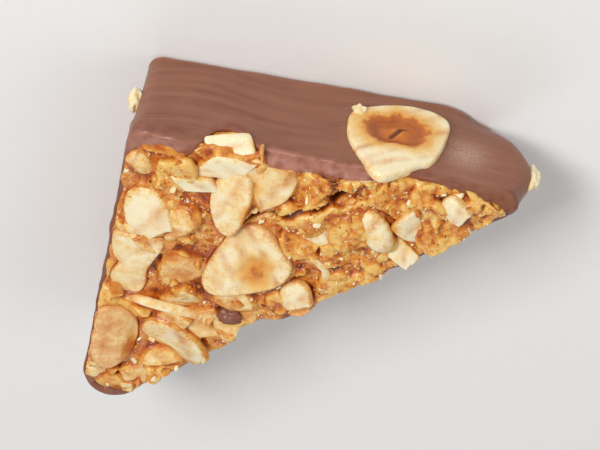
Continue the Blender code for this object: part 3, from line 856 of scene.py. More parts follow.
# %% Places of the large nuts
TOP_SLICES = (
    ("hazelnut_slice_middle", 17.6, 19.4, 12.6, 12.4, 100, 4, -5, 0.5),
    ("hazelnut_slice_upright", 14.1, 8.9, 9.6, 5.8, -3, 6, 18, 0.6),
    ("hazelnut_slice_side", 3.1, 22.8, 11.0, 7.4, 2, -5, 6, 0.5),
    ("hazelnut_slice_back", 2.2, 38.6, 11.0, 6.6, -4, 5, -16, 0.8),
)
LARGE_SHARDS = (
    (12.8, 0.6, 3.8, 7.0, 4, 52, 0, -0.3),
    (12.2, 2.9, 8.8, 4.2, 102, 4, 6, 0.7),
    (9.2, 6.5, 6.4, 2.6, 84, -6, 6, 0.5),
    (19.0, 4.0, 8.2, 6.0, 20, 6, -8, 0.4),
    (3.4, 13.5, 8.8, 6.4, 24, 8, 8, 0.5),
    (6.2, 30.2, 12.0, 3.4, 86, 3, 50, 0.2),
    (9.6, 36.1, 10.0, 5.6, 66, 6, 18, 0.5),
    (11.6, 38.0, 8.0, 4.0, 60, 8, 24, 0.7),
    (32.8, 9.5, 7.0, 4.2, 30, 8, 14, 0.4),
    (36.6, 7.9, 6.0, 3.8, 12, -8, -12, 0.5),
    (42.2, 3.6, 4.4, 3.4, 50, 8, 12, 0.4),
    (36.7, 13.2, 5.2, 3.4, 40, 10, -14, 0.4),
    (24.0, 23.9, 5.0, 4.4, 20, 8, 10, 0.4),
    (26.6, 12.8, 5.0, 4.0, 70, 6, 8, 0.3),
)
# The others: each pair is the least and the most, lengths are in mm, and widths are shares of
# the length. A margin is the room to the walls, and an inset is how far in from them.
SHARD_SPACING = 5.2
SHARD_MARGIN = 1.6
SHARD_LENGTH = (4.6, 8.0)
SHARD_WIDTH = (0.5, 0.85)
SHARD_LEAN = 10.0  # degrees
SHARD_LIFT = (0.1, 0.5)
EDGE_INSET = (1.0, 2.4)
EDGE_SIZE = (2.2, 5.0)
EDGE_WIDTH = (0.6, 0.8)
EDGE_LEAN = 12.0
EDGE_LIFT = (0.4, 0.9)
EDGE_SHARE = 0.8  # of the outline's points that carry a nut
NIB_SPACING = 4.6
NIB_MARGIN = 2.4
NIB_SIZE = (1.6, 3.0)
NIB_WIDTH = (0.6, 0.9)
NIB_LIFT = (0.3, 0.9)
ROW_PITCH = math.sqrt(3.0) / 2  # of a staggered grid, as a share of its spacing
JITTER = 0.25  # how far a point of the grid may move, as a share of its spacing
PLACE_SEED = 41
BARE_SPOTS = ((3.5, 0.6, 4.2), (-1.9, 52.3, 3.2))  # under the chocolate: along, back, radius


# %% The rule for the places
def scattered(spacing, margin, draw):
    """Places spread evenly over the top: a staggered grid, each point moved a little."""
    places = []
    rows = int(SIDE_LEG / MM / (spacing * ROW_PITCH)) + 2
    columns = int(FRONT_LEG / MM / spacing) + 2
    for row in range(rows):
        for column in range(-1, columns):
            along = spacing * (column + 0.5 * (row % 2) + draw.uniform(-JITTER, JITTER))
            back = spacing * (row * ROW_PITCH + draw.uniform(-JITTER, JITTER))
            if inside_by(spot(along * MM, back * MM)) > margin * MM:
                places.append((along, back))
    return places


def is_free(along, back, kept):
    """Whether a place is off the large pieces, each one along, back and a radius."""
    return all(math.hypot(along - x, back - y) > radius for x, y, radius in kept)


def shard_places(kept, draw):
    """The rows of the large shards, then one for each of those spread between them."""
    places = list(LARGE_SHARDS)
    kept += [(row[0], row[1], (row[2] + row[3]) / 5) for row in LARGE_SHARDS]
    for along, back in scattered(SHARD_SPACING, SHARD_MARGIN, draw):
        length = draw.uniform(*SHARD_LENGTH)
        width = length * draw.uniform(*SHARD_WIDTH)
        pose = (draw.uniform(0.0, 360.0), draw.gauss(0.0, SHARD_LEAN), draw.gauss(0.0, SHARD_LEAN))
        row = (along, back, length, width, *pose, draw.uniform(*SHARD_LIFT))
        if is_free(along, back, kept):
            places.append(row)
    return places


def edge_places(kept, draw):
    """A row for each nut along the edge: these hide most of the rim."""
    places = []
    for point, inner in zip(outline(0.0), outline(MM)):
        place = point.lerp(inner, draw.uniform(*EDGE_INSET)) - RIGHT_CORNER
        along, back = -place.x / MM, place.y / MM
        length = draw.uniform(*EDGE_SIZE)
        width = length * draw.uniform(*EDGE_WIDTH)
        leans = (draw.uniform(-EDGE_LEAN, EDGE_LEAN), draw.uniform(-EDGE_LEAN, EDGE_LEAN))
        pose = (draw.uniform(0.0, 360.0), *leans, draw.uniform(*EDGE_LIFT))
        if draw.random() < EDGE_SHARE and is_free(along, back, kept):
            places.append((along, back, length, width, *pose))
    return places


def nib_places(kept, draw):
    """A row for each chopped bit between and on the shards."""
    places = []
    for along, back in scattered(NIB_SPACING, NIB_MARGIN, draw):
        length = draw.uniform(*NIB_SIZE)
        width = length * draw.uniform(*NIB_WIDTH)
        turns = [draw.uniform(0.0, 360.0) for axis in range(3)]
        row = (along, back, length, width, *turns, draw.uniform(*NIB_LIFT))
        if is_free(along, back, kept):
            places.append(row)
    return places


def all_places():
    """The rows of all the shards, and of all the nibs."""
    draw = random.Random(PLACE_SEED)
    kept = [(row[1], row[2], (row[3] + row[4]) / 4) for row in TOP_SLICES]
    kept += BARE_SPOTS
    shards, edge, nibs = (rule(kept, draw) for rule in (shard_places, edge_places, nib_places))
    return shards + edge[::2], edge[1::2] + nibs


SHARDS, NIBS = all_places()
print(len(SHARDS), "shards and", len(NIBS), "nibs")


# %% How a flat piece lies
def turned(turn, tilt, roll):
    """The turn of a piece that lies on the layer, in radians about X, Y and Z."""
    return Euler([math.radians(angle) for angle in (tilt, roll, turn)])


def lying_at(along, back, lift):
    """The middle of a piece that lies on the layer (mm in, metres out)."""
    place = spot(along * MM, back * MM)
    return Vector((*place, layer_height(place) + lift * MM))


def lying(along, back, turn, tilt, roll, lift):
    """The full placing of a piece on the layer."""
    matrix = turned(turn, tilt, roll).to_matrix().to_4x4()
    return Matrix.Translation(lying_at(along, back, lift)) @ matrix


# %% [markdown]
# ## The shapes of cut hazelnuts
#
# A hazelnut cut across is a pale disc with a hollow in its middle, its eye. Broken slices
# keep a part of the round edge and one or two straight breaks. All of them are one rule: a
# closed outline, rings of points drawn in towards its middle, a height for each point, and
# the distance from the eye kept for the finish. Fine ridges run out from the eye, as the
# blade leaves them. Sizes here are in whatever unit the outline has, and the eye's forms are
# shares of the eye's own size.

# %% How high a slice's face is
EYE_WAVE = (0.22, 1.7)  # how uneven the eye's edge is: how much, how often
BOWL_EDGE = (0.5, 1.1)  # where the eye's hollow begins to rise, and where it ends
ISLAND_EDGE = 0.55
RIDGE_EDGE = (0.7, 1.2)  # the ridges begin at the eye's edge
RIDGE_BEND = 0.6
RIDGE_SHARE = 0.5  # of ridges from the eye, beside the stripes across the slice
STRIPE_SHORT = 0.12  # a stripe's width as a share of its length
CREASE_WAVE = (0.1, 0.4, 3.0)  # how far the crease bends, how often, and where noise is read
CREASE_WIDTH = 0.09
CREASE_EDGE = (0.25, 0.65)
CREASE_DARK = 2.0  # how much deeper than the ridges' grooves the finish reads the crease
GRAIN = (0.4, 1.3)  # of the ridges' height, and of the stripes' size


def slice_height(place, share, look):
    """The height of a slice's upper face, the distance from its eye, and how deep a groove is."""
    wide, deep = look["eye_size"]
    off = place - Vector(look["eye"])
    angle = math.atan2(off.y, off.x)
    way = Vector((math.cos(angle), math.sin(angle), look["depth"]))
    uneven = 1.0 + EYE_WAVE[0] * noise.noise(way * EYE_WAVE[1])
    reach = math.hypot(off.x / wide, off.y / deep) * uneven
    bowl = look["depth"] * (1.0 - smooth_step(*BOWL_EDGE, reach))
    island = look["island"] * (1.0 - smooth_step(0.0, ISLAND_EDGE, reach))
    ridge = noise.noise(way * look["ridges"] + Vector((0.0, 0.0, RIDGE_BEND * reach)))
    turns = (look["stripe_turn"], look["stripe_turn"] + math.pi / 2)
    along, across = (off.x * math.cos(turn) + off.y * math.sin(turn) for turn in turns)
    short = STRIPE_SHORT * along / look["stripe"]
    stripe = noise.noise(Vector((across / look["stripe"], short, look["depth"])))
    groove = (RIDGE_SHARE * ridge + stripe) * smooth_step(*RIDGE_EDGE, reach)
    bend, often, level = CREASE_WAVE
    across = off.x * math.sin(look["crease_turn"]) - off.y * math.cos(look["crease_turn"])
    across += bend * wide * noise.noise(Vector((*off, level)) / (often * wide))
    crease = bump(across, CREASE_WIDTH * wide) * (1.0 - smooth_step(*CREASE_EDGE, reach))
    grain = noise.noise(Vector((*off, 0.0)) / (GRAIN[1] * look["stripe"]))
    height = look["dome"] * (1.0 - share * share) - bowl + island + look["ridge"] * groove
    height += look["ridge"] * GRAIN[0] * grain - look["crease"] * crease
    return height, reach, groove - CREASE_DARK * crease * (look["crease"] > 0.0)


# %% One slice by rule
EDGE_TURNS = (-90, -55, -20, 20, 55, 90)  # degrees round the slice's edge, from below
UNDER_SHARES = (0.04, 0.5)  # rings of the flat underside, from its middle out
TOP_SHARE = 0.97  # how far towards its middle the upper face's rings go


def slice_object(name, loop, thickness, look, rings):
    """A slice whose outline is the loop: flat below, with a round edge, and its eye above."""
    if sum(a.cross(b) for a, b in zip(loop, loop[1:] + loop[:1])) < 0.0:
        loop = loop[::-1]
    middle = sum(loop, Vector((0.0, 0.0))) / len(loop)
    rows = [(share, -1.0) for share in UNDER_SHARES]
    for turn in (math.radians(turn) for turn in EDGE_TURNS):
        rows.append((1.0 - look["round"] * (1.0 - math.cos(turn)), math.sin(turn)))
    flat = 1.0 - look["round"]
    rows += [(flat * (1.0 - TOP_SHARE * row / rings), 1.0) for row in range(1, rings + 1)]
    points, eyes, rims, grooves = [], [], [], []
    for share, level in rows:
        for point in loop:
            place = middle.lerp(point, share)
            height, reach, groove = slice_height(place, share, look)
            points.append((*place, thickness / 2 * level + height * max(level, 0.0)))
            eyes.append(math.hypot(reach, look["faint"]))
            grooves.append(groove)
            rims.append(share if level > -0.1 else 1.0)
    faces = skin_faces(len(rows), len(loop))
    return mesh_object(name, points, faces, eye=eyes, rim=rims, groove=grooves)


# Turns are in radians. Where `faint` is above 0, the colours of the eye's middle don't show.
PLAIN_LOOK = {
    "eye": (0.0, 0.0), "eye_size": (2.0, 2.0), "faint": 0.0, "depth": 0.0, "island": 0.0,
    "ridge": 0.06, "ridges": 4.0, "stripe": 0.9, "stripe_turn": 0.5, "crease": 0.0,
    "crease_turn": 0.0, "dome": 0.0, "round": 0.06,
}
print("a slice has", len(EDGE_TURNS), "rings round its edge")

# %% [markdown]
# ## Pale nut
#
# A raw slice is cream white. Baked in caramel it turns yellow round the eye and brown in it,
# and the caramel tints patches of it gold. The finish reads what the mesh knows: the distance
# from the `eye` for the rings of colour, the `groove` for furrows and the dark crease, the
# `rim` and how `low` a point is for the caramel that creeps up its sides, and a `tone` for how
# much caramel the place took up, near 1 for much and below 0 where it stayed the palest. A
# little light goes into a nut and comes out again, which subsurface scattering gives.

# %% Nut finish
NUT_WHITE = colour(248, 234, 196)
NUT_CREAM = colour(240, 203, 134)
NUT_YELLOW = colour(231, 169, 80)
NUT_GOLD = colour(214, 136, 48)
NUT_AMBER = colour(194, 108, 38)
NUT_BROWN = colour(166, 88, 38)
EYE_DARK = colour(104, 50, 24)
EYE_SPAN = 3.0  # the rings of colour are spread over this many sizes of the eye
EYE_RINGS = (  # from the eye's middle out
    (0.0, NUT_GOLD), (0.13, NUT_AMBER), (0.24, NUT_BROWN), (0.31, NUT_AMBER), (0.36, NUT_YELLOW),
    (0.44, NUT_CREAM), (0.56, NUT_WHITE),
)
CARAMEL_TINTS = (  # what more and more caramel multiplies the nut's colour by
    (0.0, (1.0, 1.0, 1.0)), (0.3, (0.98, 0.85, 0.6)), (0.65, (0.94, 0.66, 0.32)), (1.0, (0.8, 0.38, 0.1)),
)


def nut_finish(name, glaze, roughness=0.45):
    """Nut with its rings of colour, fibres, and caramel in its grooves and at its edge."""
    made = Finish(name, roughness, subsurface=0.12, radius=(1.0, 0.6, 0.3), scale=0.8 * MM)
    eye, tone, groove, rim = (made.attribute(key) for key in ("eye", "tone", "groove", "rim"))
    patches = made.grain(2.2 * MM, 4.0, rough=0.6)
    mottles = made.grain(0.9 * MM, 4.0, rough=0.6)
    fine = made.grain(0.45 * MM, 4.0, rough=0.65)
    fibres = made.grain(0.22 * MM, 3.0, stretch=(1.0, 6.0, 1.0))
    wavy = made.maths("ADD", eye, made.span(mottles, 0.25, 0.75, -0.14, 0.14))
    rings = made.steps(made.span(wavy, 0.0, EYE_SPAN), *EYE_RINGS)
    base = made.mix(made.span(groove, -0.5, -1.5), rings, EYE_DARK)
    outside = made.span(eye, 1.0, 1.4)
    furrow = made.maths("MULTIPLY", made.span(groove, 0.0, -0.7, 0.0, 0.5), outside)
    base = made.mix(furrow, base, NUT_GOLD)
    edge = made.maths("ADD", rim, made.span(fine, 0.25, 0.75, -0.1, 0.1))
    tint = made.maths("MULTIPLY", tone, 0.8)
    for more in (
        made.span(patches, 0.38, 0.72, -0.2, 0.5),
        made.span(mottles, 0.3, 0.7, -0.22, 0.28),
        made.span(fine, 0.3, 0.7, -0.1, 0.1),
        made.span(edge, 0.86, 1.0, 0.0, 0.55),
        made.attribute("low"),
    ):
        tint = made.maths("ADD", tint, more)
    caramel = made.steps(tint, *CARAMEL_TINTS)
    base = made.mix(glaze, base, made.mix(1.0, base, caramel, "MULTIPLY"))
    made.set("Base Color", made.mix(made.span(fibres, 0.52, 0.8, 0.0, 0.18), base, NUT_GOLD))
    made.set("Roughness", made.span(patches, 0.35, 0.7, roughness - 0.15, roughness + 0.1))
    made.relief((fibres, 0.03 * MM), (fine, 0.06 * MM))
    return made.material


PALE_NUT = nut_finish("pale_nut", glaze=0.8)
BAKED_FLAKE = nut_finish("baked_flake", glaze=0.95, roughness=0.38)
print("nut finishes:", PALE_NUT.name, "and", BAKED_FLAKE.name)

# %% [markdown]
# ## The whole slices
#
# Five slices are large enough to be pieces of their own. Each has its true outline, from a
# few corners measured from its middle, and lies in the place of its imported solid. The one on
# the front wall shows its eye best: a pale rim, a yellow ring, and a brown hollow with an
# island and a dark crease in it. Corners, eyes and heights are in mm.

# %% Looks of the five slices
WHOLE_SLICES = {
    "hazelnut_slice_middle": {
        "corners": (
            (-0.5, -6.9), (2.0, -6.3), (4.1, -3.6), (5.6, -0.9), (4.3, 2.4), (0.6, 4.8), (-2.9, 6.4),
            (-5.2, 6.0), (-6.0, 3.6), (-5.0, -0.2), (-3.7, -3.7), (-2.6, -6.0),
        ),
        "tones": (0.3, 0.3),  # near the side wall, and further in
        "look": {
            "eye": (0.9, 0.5), "eye_size": (3.0, 2.4), "depth": 0.35, "island": 0.2, "ridge": 0.2,
            "ridges": 2.2, "stripe": 1.3, "stripe_turn": 0.35, "dome": 0.2, "faint": 0.98,
        },
    },
    "hazelnut_slice_upright": {
        "corners": (
            (-0.9, -5.4), (1.5, -5.7), (2.6, -3.4), (2.4, 0.6), (1.0, 4.9), (-1.3, 4.3), (-2.8, 0.6),
            (-2.4, -3.3),
        ),
        "tones": (0.25, 0.25),
        "look": {
            "eye": (3.6, 0.5), "eye_size": (1.2, 2.2), "dome": 0.3, "ridge": 0.1, "stripe": 1.6,
            "stripe_turn": 1.3,
        },
    },
    "hazelnut_slice_side": {
        "corners": (
            (-3.6, -4.7), (-2.6, -5.7), (-0.7, -5.6), (2.3, -5.7), (3.3, -4.7), (2.0, -0.9),
            (1.4, 1.4), (1.4, 4.0), (0.4, 5.9), (-2.4, 6.2), (-3.3, 4.8), (-3.4, 3.0), (-2.5, 0.6),
            (-3.4, -1.5),
        ),
        "tones": (0.25, 0.25),
        "look": {
            "eye": (3.4, 0.4), "eye_size": (1.7, 1.3), "depth": 0.35, "dome": 0.25, "ridge": 0.12,
            "ridges": 3.0, "stripe": 1.8, "stripe_turn": 0.9, "faint": 0.85,
        },
    },
    "hazelnut_slice_back": {
        "corners": (
            (-4.1, -5.6), (-3.0, -7.0), (-1.2, -7.2), (0.8, -6.3), (2.0, -4.1), (2.0, -0.7),
            (1.2, 2.0), (-1.4, 4.3), (-3.4, 3.4), (-4.4, 0.4), (-4.6, -2.6),
        ),
        "tones": (1.05, 0.1),  # amber near the side wall, pale further in
        "look": {
            "eye": (1.4, 0.4), "eye_size": (1.1, 3.0), "depth": 0.4, "dome": 0.4, "ridge": 0.12,
            "ridges": 2.4, "stripe": 1.6, "stripe_turn": 1.5, "faint": 0.9,
        },
    },
}
FRONT_TONES = (-0.4, -0.4)
FRONT_LOOK = {
    "eye": (-0.2, -1.6), "eye_size": (4.0, 3.0), "depth": 0.8, "island": 0.55, "ridge": 0.1,
    "ridges": 3.4, "stripe": 1.2, "dome": 0.25, "crease": 0.3, "crease_turn": 0.75, "round": 0.05,
}
FRONT_PROUD = 1.0 * MM  # how far the front slice stands out of the wall
SLICE_THICKNESS = 1.4 * MM
SLICE_POINTS = 96
SLICE_RINGS = 40


# %% Make the five slices
LOW_REACH = 0.9 * MM  # how far the caramel creeps up a nut's side
LOW_MOST = 0.6  # of a point at the caramel
LOW_STANDING = 0.1  # the flake that stands across the rim has nearly none
TONE_TURN = (2.2 * MM, 4.6 * MM)  # how far in from the side wall a slice's tone changes


def low_on_layer(piece):
    """For each point, 0 well above the caramel, and up to `LOW_MOST` down at it."""
    lows = []
    for point in (vert.co for vert in piece.data.vertices):
        above = smooth_step(0.0, LOW_REACH, point.z - caramel_height(point.xy))
        standing = (point.xy - spot(*STANDING_PLACE)).length < STANDING_REACH
        lows.append(LOW_STANDING if standing else LOW_MOST * (1.0 - above))
    return lows


def in_mm(look):
    """The look of a slice, its lengths from mm to metres."""
    full = {**PLAIN_LOOK, **look}
    for key in ("eye", "eye_size"):
        full[key] = tuple(value * MM for value in full[key])
    for key in ("depth", "island", "ridge", "crease", "dome", "stripe"):
        full[key] *= MM
    return full


def finish_slice(piece, node, tones, matrix):
    """Puts a slice in its place, and hides the imported solid that it stands for."""
    piece.data.transform(matrix)
    piece.data.materials.append(PALE_NUT)
    insides = [smooth_step(*TONE_TURN, from_corner(vert.co)[0]) for vert in piece.data.vertices]
    store(piece.data, "tone", [tones[0] + (tones[1] - tones[0]) * inside for inside in insides])
    if node != "hazelnut_slice_front":
        store(cut_flush(piece).data, "low", low_on_layer(piece))
    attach(piece, "root")
    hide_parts(node)
    print(piece.name, "has", len(piece.data.polygons), "faces")


def top_slice(name, turn, corners, look):
    """One whole slice of the top and its outline, turned back, as its placing turns them."""
    unturn = Matrix.Rotation(-math.radians(turn), 2)
    loop = [unturn @ Vector((-x, y)) for x, y in loop_through(corners, SLICE_POINTS)]
    look = in_mm(look)
    look["eye"] = unturn @ Vector((-look["eye"][0], look["eye"][1]))
    return slice_object(name + "_cut", loop, SLICE_THICKNESS, look, SLICE_RINGS), loop


SLICE_BEDS = []  # each slice's placing and outline, which the caramel under it makes room for
for name, along, back, length, width, *pose in TOP_SLICES:
    side = WHOLE_SLICES[name]
    made, loop = top_slice(name, pose[0], side["corners"], side["look"])
    finish_slice(made, name, side["tones"], lying(along, back, *pose))
    SLICE_BEDS.append((lying(along, back, *pose), loop))

front_inset = BASE_INSET * (1.0 - FRONT_PLACE[1] / RIM_HEIGHT)
front_place = Vector((*spot(FRONT_PLACE[0], front_inset), FRONT_PLACE[1]))
front_lean = Matrix.Rotation(math.pi / 2 + math.atan2(BASE_INSET, RIM_HEIGHT), 4, "X")
front_stand = Matrix.Translation((0.0, 0.0, FRONT_PROUD - SLICE_THICKNESS / 2))
front_matrix = Matrix.Translation(front_place) @ front_lean @ front_stand
front_loop = [Vector((-x, y)) for x, y in FRONT_LOOP]
made = slice_object(
    "hazelnut_slice_front_cut", front_loop, SLICE_THICKNESS, in_mm(FRONT_LOOK), SLICE_RINGS
)
finish_slice(made, "hazelnut_slice_front", FRONT_TONES, front_matrix)

# %% [markdown]
# ## Geometry Nodes for what repeats
#
# The top carries over a hundred broken slices and some thousands of chips and crumbs. One
# mesh each would be slow to write and to draw. Geometry Nodes lay them: a tree takes points,
# or the surface that it strews, and puts one of a few drawn shapes on each point. `Growth`
# holds one such tree and adds its nodes one call at a time, as `Finish` does for materials.


# %% Growth helper
class Growth:
    """A Geometry Nodes tree with named inputs, which ends in real faces and one finish."""

    def __init__(self, name, **inputs):
        self.tree = bpy.data.node_groups.new(name, "GeometryNodeTree")
        face = self.tree.interface
        face.new_socket("Geometry", in_out="INPUT", socket_type="NodeSocketGeometry")
        self.names = {}
        for key, kind in inputs.items():
            made = face.new_socket(key, in_out="INPUT", socket_type="NodeSocket" + kind)
            self.names[key] = made.identifier
        face.new_socket("Geometry", in_out="OUTPUT", socket_type="NodeSocketGeometry")
        self.inputs = self.add("NodeGroupInput").outputs

    def add(self, kind, inputs=(), **settings):
        """A node of this kind, as `add_node` makes it."""
        return add_node(self.tree, kind, inputs, settings)

    def named(self, name, kind="FLOAT"):
        """The values that the points hold under this name."""
        made = self.add("GeometryNodeInputNamedAttribute", [("Name", name)], data_type=kind)
        return made.outputs["Attribute"]

    def lifted(self, geometry, height):
        """The geometry, moved up by a height, or down where that is below 0."""
        way = self.add("ShaderNodeCombineXYZ", [("Z", height)]).outputs[0]
        inputs = [("Geometry", geometry), ("Offset", way)]
        return self.add("GeometryNodeSetPosition", inputs).outputs[0]

    def scaled(self, vector, factor):
        """A vector, made longer by a factor."""
        inputs = [(0, vector), ("Scale", factor)]
        return self.add("ShaderNodeVectorMath", inputs, operation="SCALE").outputs[0]

    def drawn(self, low, high, seed, kind="FLOAT"):
        """A random value for each point."""
        made = self.add("FunctionNodeRandomValue", data_type=kind)
        shown = [socket for socket in made.inputs if socket.enabled]
        shown[0].default_value = low
        shown[1].default_value = high
        made.inputs["Seed"].default_value = seed
        return next(socket for socket in made.outputs if socket.enabled)

    def strew(self, points, kinds, index, rotation, scale):
        """One shape of the collection on each point."""
        shapes = self.add(
            "GeometryNodeCollectionInfo", [("Collection", kinds), ("Separate Children", True)]
        )
        inputs = [("Points", points), ("Instance", shapes.outputs[0]), ("Pick Instance", True)]
        inputs += [("Instance Index", index), ("Rotation", rotation), ("Scale", scale)]
        return self.add("GeometryNodeInstanceOnPoints", inputs).outputs[0]

    def end(self, geometry, finish):
        """Makes the instances real, gives them their finish, and leads them out."""
        real = self.add("GeometryNodeRealizeInstances", [("Geometry", geometry)]).outputs[0]
        done = self.add("GeometryNodeSetMaterial", [("Geometry", real), ("Material", finish)])
        self.tree.links.new(done.outputs[0], self.add("NodeGroupOutput").inputs[0])

    def grow(self, piece, name, **values):
        """A plain mesh object of what the tree makes of the piece, which goes."""
        modifier = piece.modifiers.new(self.tree.name, "NODES")
        modifier.node_group = self.tree
        for key, value in values.items():
            modifier[self.names[key]] = value
        return baked(piece, name)


def kinds_of(name, shapes):
    """A collection that holds the drawn shapes, out of the scene."""
    group = bpy.data.collections.new(name)
    for shape in shapes:
        group.objects.link(shape)
        bpy.context.scene.collection.objects.unlink(shape)
    return group


# %% [markdown]
# ## Kinds of broken slice
#
# Eight shapes, each one unit long, wide and thick, cover what breaks off a hazelnut: a round
# slice with its eye, a half, a wedge, a cap, a long sliver and three splinters. They are
# scaled to each place's own size. The outline of a splinter has straight sides, which a curve
# through doubled corners gives.

# %% Draw the kinds
KIND_POINTS = 32
KIND_RINGS = 9
UNIT_LOOK = {**PLAIN_LOOK, "round": 0.1, "ridges": 2.4, "stripe": 0.26}
KINDS = (  # name, corners in turn, look
    ("a_round", (
        (0.5, 0.0), (0.34, 0.36), (0.0, 0.5), (-0.4, 0.33), (-0.5, -0.03), (-0.3, -0.4), (0.05, -0.5),
        (0.4, -0.3),
    ), {"eye_size": (0.24, 0.2), "depth": 0.2, "island": 0.1, "ridge": 0.1, "faint": 1.0}),
    ("b_half", (
        (0.5, -0.42), (0.5, 0.42), (0.36, 0.5), (-0.1, 0.42), (-0.46, 0.12), (-0.5, -0.2), (-0.2, -0.48),
        (0.3, -0.5),
    ), {"eye": (0.5, 0.0), "eye_size": (0.22, 0.24), "depth": 0.3, "ridge": 0.1, "faint": 0.92}),
    ("c_wedge", (
        (0.5, -0.08), (0.5, 0.06), (0.1, 0.4), (-0.36, 0.5), (-0.5, 0.2), (-0.48, -0.22), (-0.3, -0.5),
        (0.1, -0.36),
    ), {"eye": (0.52, 0.0), "eye_size": (0.3, 0.2), "depth": 0.2, "ridge": 0.1, "faint": 1.0}),
    ("d_cap", (
        (0.5, 0.1), (0.3, 0.42), (-0.1, 0.5), (-0.44, 0.3), (-0.5, -0.12), (-0.22, -0.45), (0.2, -0.5),
        (0.46, -0.2),
    ), {"eye_size": (0.01, 0.01), "dome": 0.5, "ridge": 0.1, "round": 0.25}),
    ("e_sliver", (
        (0.1, -0.5), (0.42, -0.3), (0.5, 0.05), (0.36, 0.4), (0.04, 0.5), (0.02, 0.36), (0.16, 0.0),
        (-0.06, -0.34),
    ), {"eye": (-0.6, 0.0), "eye_size": (0.3, 0.4), "dome": 0.1, "ridge": 0.1, "faint": 1.0}),
    ("f_splinter", (
        (0.44, -0.5), (0.5, 0.2), (0.4, 0.3), (-0.1, 0.5), (-0.22, 0.48), (-0.5, 0.05), (-0.44, -0.1),
        (0.3, -0.48),
    ), {"eye": (0.3, -0.6), "eye_size": (0.3, 0.25), "ridge": 0.1, "faint": 1.05}),
    ("g_splinter", (
        (0.5, -0.1), (0.24, 0.5), (0.12, 0.5), (-0.42, 0.34), (-0.5, 0.22), (-0.36, -0.42), (-0.2, -0.5),
        (0.44, -0.24),
    ), {"eye": (-0.7, -0.2), "eye_size": (0.3, 0.3), "ridge": 0.12, "faint": 1.1}),
    ("h_chunk", (
        (0.5, 0.14), (0.38, 0.44), (0.2, 0.5), (-0.3, 0.36), (-0.5, 0.3), (-0.48, -0.28), (-0.1, -0.5),
        (0.32, -0.36),
    ), {"eye": (0.0, 0.9), "eye_size": (0.35, 0.35), "dome": 0.2, "ridge": 0.1, "faint": 1.05}),
)
ROUND, HALF, WEDGE, CAP, SLIVER, SPLINTER, SPLIT, CHUNK = range(len(KINDS))


def drawn_kind(name, corners, look):
    """One kind of broken slice, one unit each way."""
    loop = [point / MM for point in loop_through(corners, KIND_POINTS)]
    return slice_object(name, loop, 1.0, {**UNIT_LOOK, **look}, KIND_RINGS)


FLAKE_KINDS = kinds_of("kinds of broken slice", [drawn_kind(*kind) for kind in KINDS])

# %% [markdown]
# ## Laying the broken slices
#
# A mesh with a point for each place carries everything that the tree needs: how the slice is
# turned, its size, its kind and its tone. The tree moves each point by `Sink`, which is below
# 0 for down, and swells each shape by `Swell`. So the same tree also makes the caramel skin
# round the slices, a little larger and lower than they are. About half of the slices lie
# bare. The others are sunk: they show only as gentle forms under that skin.

# %% What lies at each place
LARGE_KINDS = (  # of the large shards: kind, tone
    (SPLIT, -0.3), (SPLINTER, -0.4), (SPLIT, -0.4), (HALF, 0.2), (CHUNK, -0.1), (SPLINTER, -0.3),
    (HALF, 0.0), (HALF, 0.05), (CAP, 0.0), (WEDGE, -0.25), (CHUNK, -0.25), (SPLIT, -0.1),
    (CHUNK, 0.05), (HALF, -0.1),
)
KIND_SHARES = (  # how often each kind comes among the others
    (ROUND, 1), (HALF, 4), (WEDGE, 3), (CAP, 3), (SLIVER, 3), (SPLINTER, 3), (SPLIT, 3), (CHUNK, 4),
)
TONES = (0.2, 0.9)
SHARD_THICKNESS = 1.2  # in mm
THINNER, THICKER = 0.8, 1.15  # the least and the most of the usual thickness
BARE_SHARE = (0.6, 0.16)  # how many lie bare: near the right angle, and near the left tip
BARE_TURN = (16.0 * MM, 30.0 * MM)  # along the front wall, where the share changes
FINE_SEED = 5
CRACK = ((15.9, 11.9), (18.2, 10.3), (20.4, 10.0), (23.0, 8.2), (25.4, 7.2), (27.8, 4.7))
CRACK_ROOM = 1.9 * MM  # no loose bit lies nearer to the crack


def off_crack(places):
    """How far each place, seen from above, is from the crack, a broken line in the caramel."""
    places = np.array(places)[:, :2]
    best = np.full(len(places), np.inf)
    line = [spot(x * MM, y * MM) for x, y in CRACK]
    for a, b in zip(line, line[1:]):
        way = np.array(b - a)
        off = places - np.array(a)
        share = np.clip(off @ way / (way @ way), 0.0, 1.0)
        best = np.minimum(best, np.linalg.norm(off - share[:, None] * way, axis=1))
    return best


def flake_rows():
    """The place, turn, size, kind and tone of each broken slice: the bare ones, and the others."""
    draw = random.Random(FINE_SEED)
    menu = [kind for kind, share in KIND_SHARES for each in range(share)]
    bare, sunk = [], []
    for number, (along, back, length, width, *pose) in enumerate(SHARDS):
        is_large = number < len(LARGE_KINDS)
        kind, tone = draw.choice(menu), draw.uniform(*TONES)
        if is_large:
            kind, tone = LARGE_KINDS[number]
        thickness = SHARD_THICKNESS * draw.uniform(THINNER, THICKER)
        size = (width * MM, length * MM, thickness * MM)
        row = (lying_at(along, back, pose[3]), turned(*pose[:3]), size, kind, tone)
        leftness = smooth_step(*BARE_TURN, along * MM)
        is_bare = draw.random() < BARE_SHARE[0] + (BARE_SHARE[1] - BARE_SHARE[0]) * leftness
        is_bare = is_bare and off_crack([row[0]])[0] > CRACK_ROOM
        (bare if is_bare or is_large else sunk).append(row)
    return bare, sunk


# %% The tree that lays them
def laying(finish):
    """The tree that puts a shape on each point, turned and sized as the point says."""
    grow = Growth("lay broken slices", Kinds="Collection", Sink="Float", Swell="Float")
    moved = grow.lifted(grow.inputs["Geometry"], grow.inputs["Sink"])
    size = grow.scaled(grow.named("size", "FLOAT_VECTOR"), grow.inputs["Swell"])
    turn = grow.named("turn", "FLOAT_VECTOR")
    grow.end(grow.strew(moved, grow.inputs["Kinds"], grow.named("kind"), turn, size), finish)
    return grow


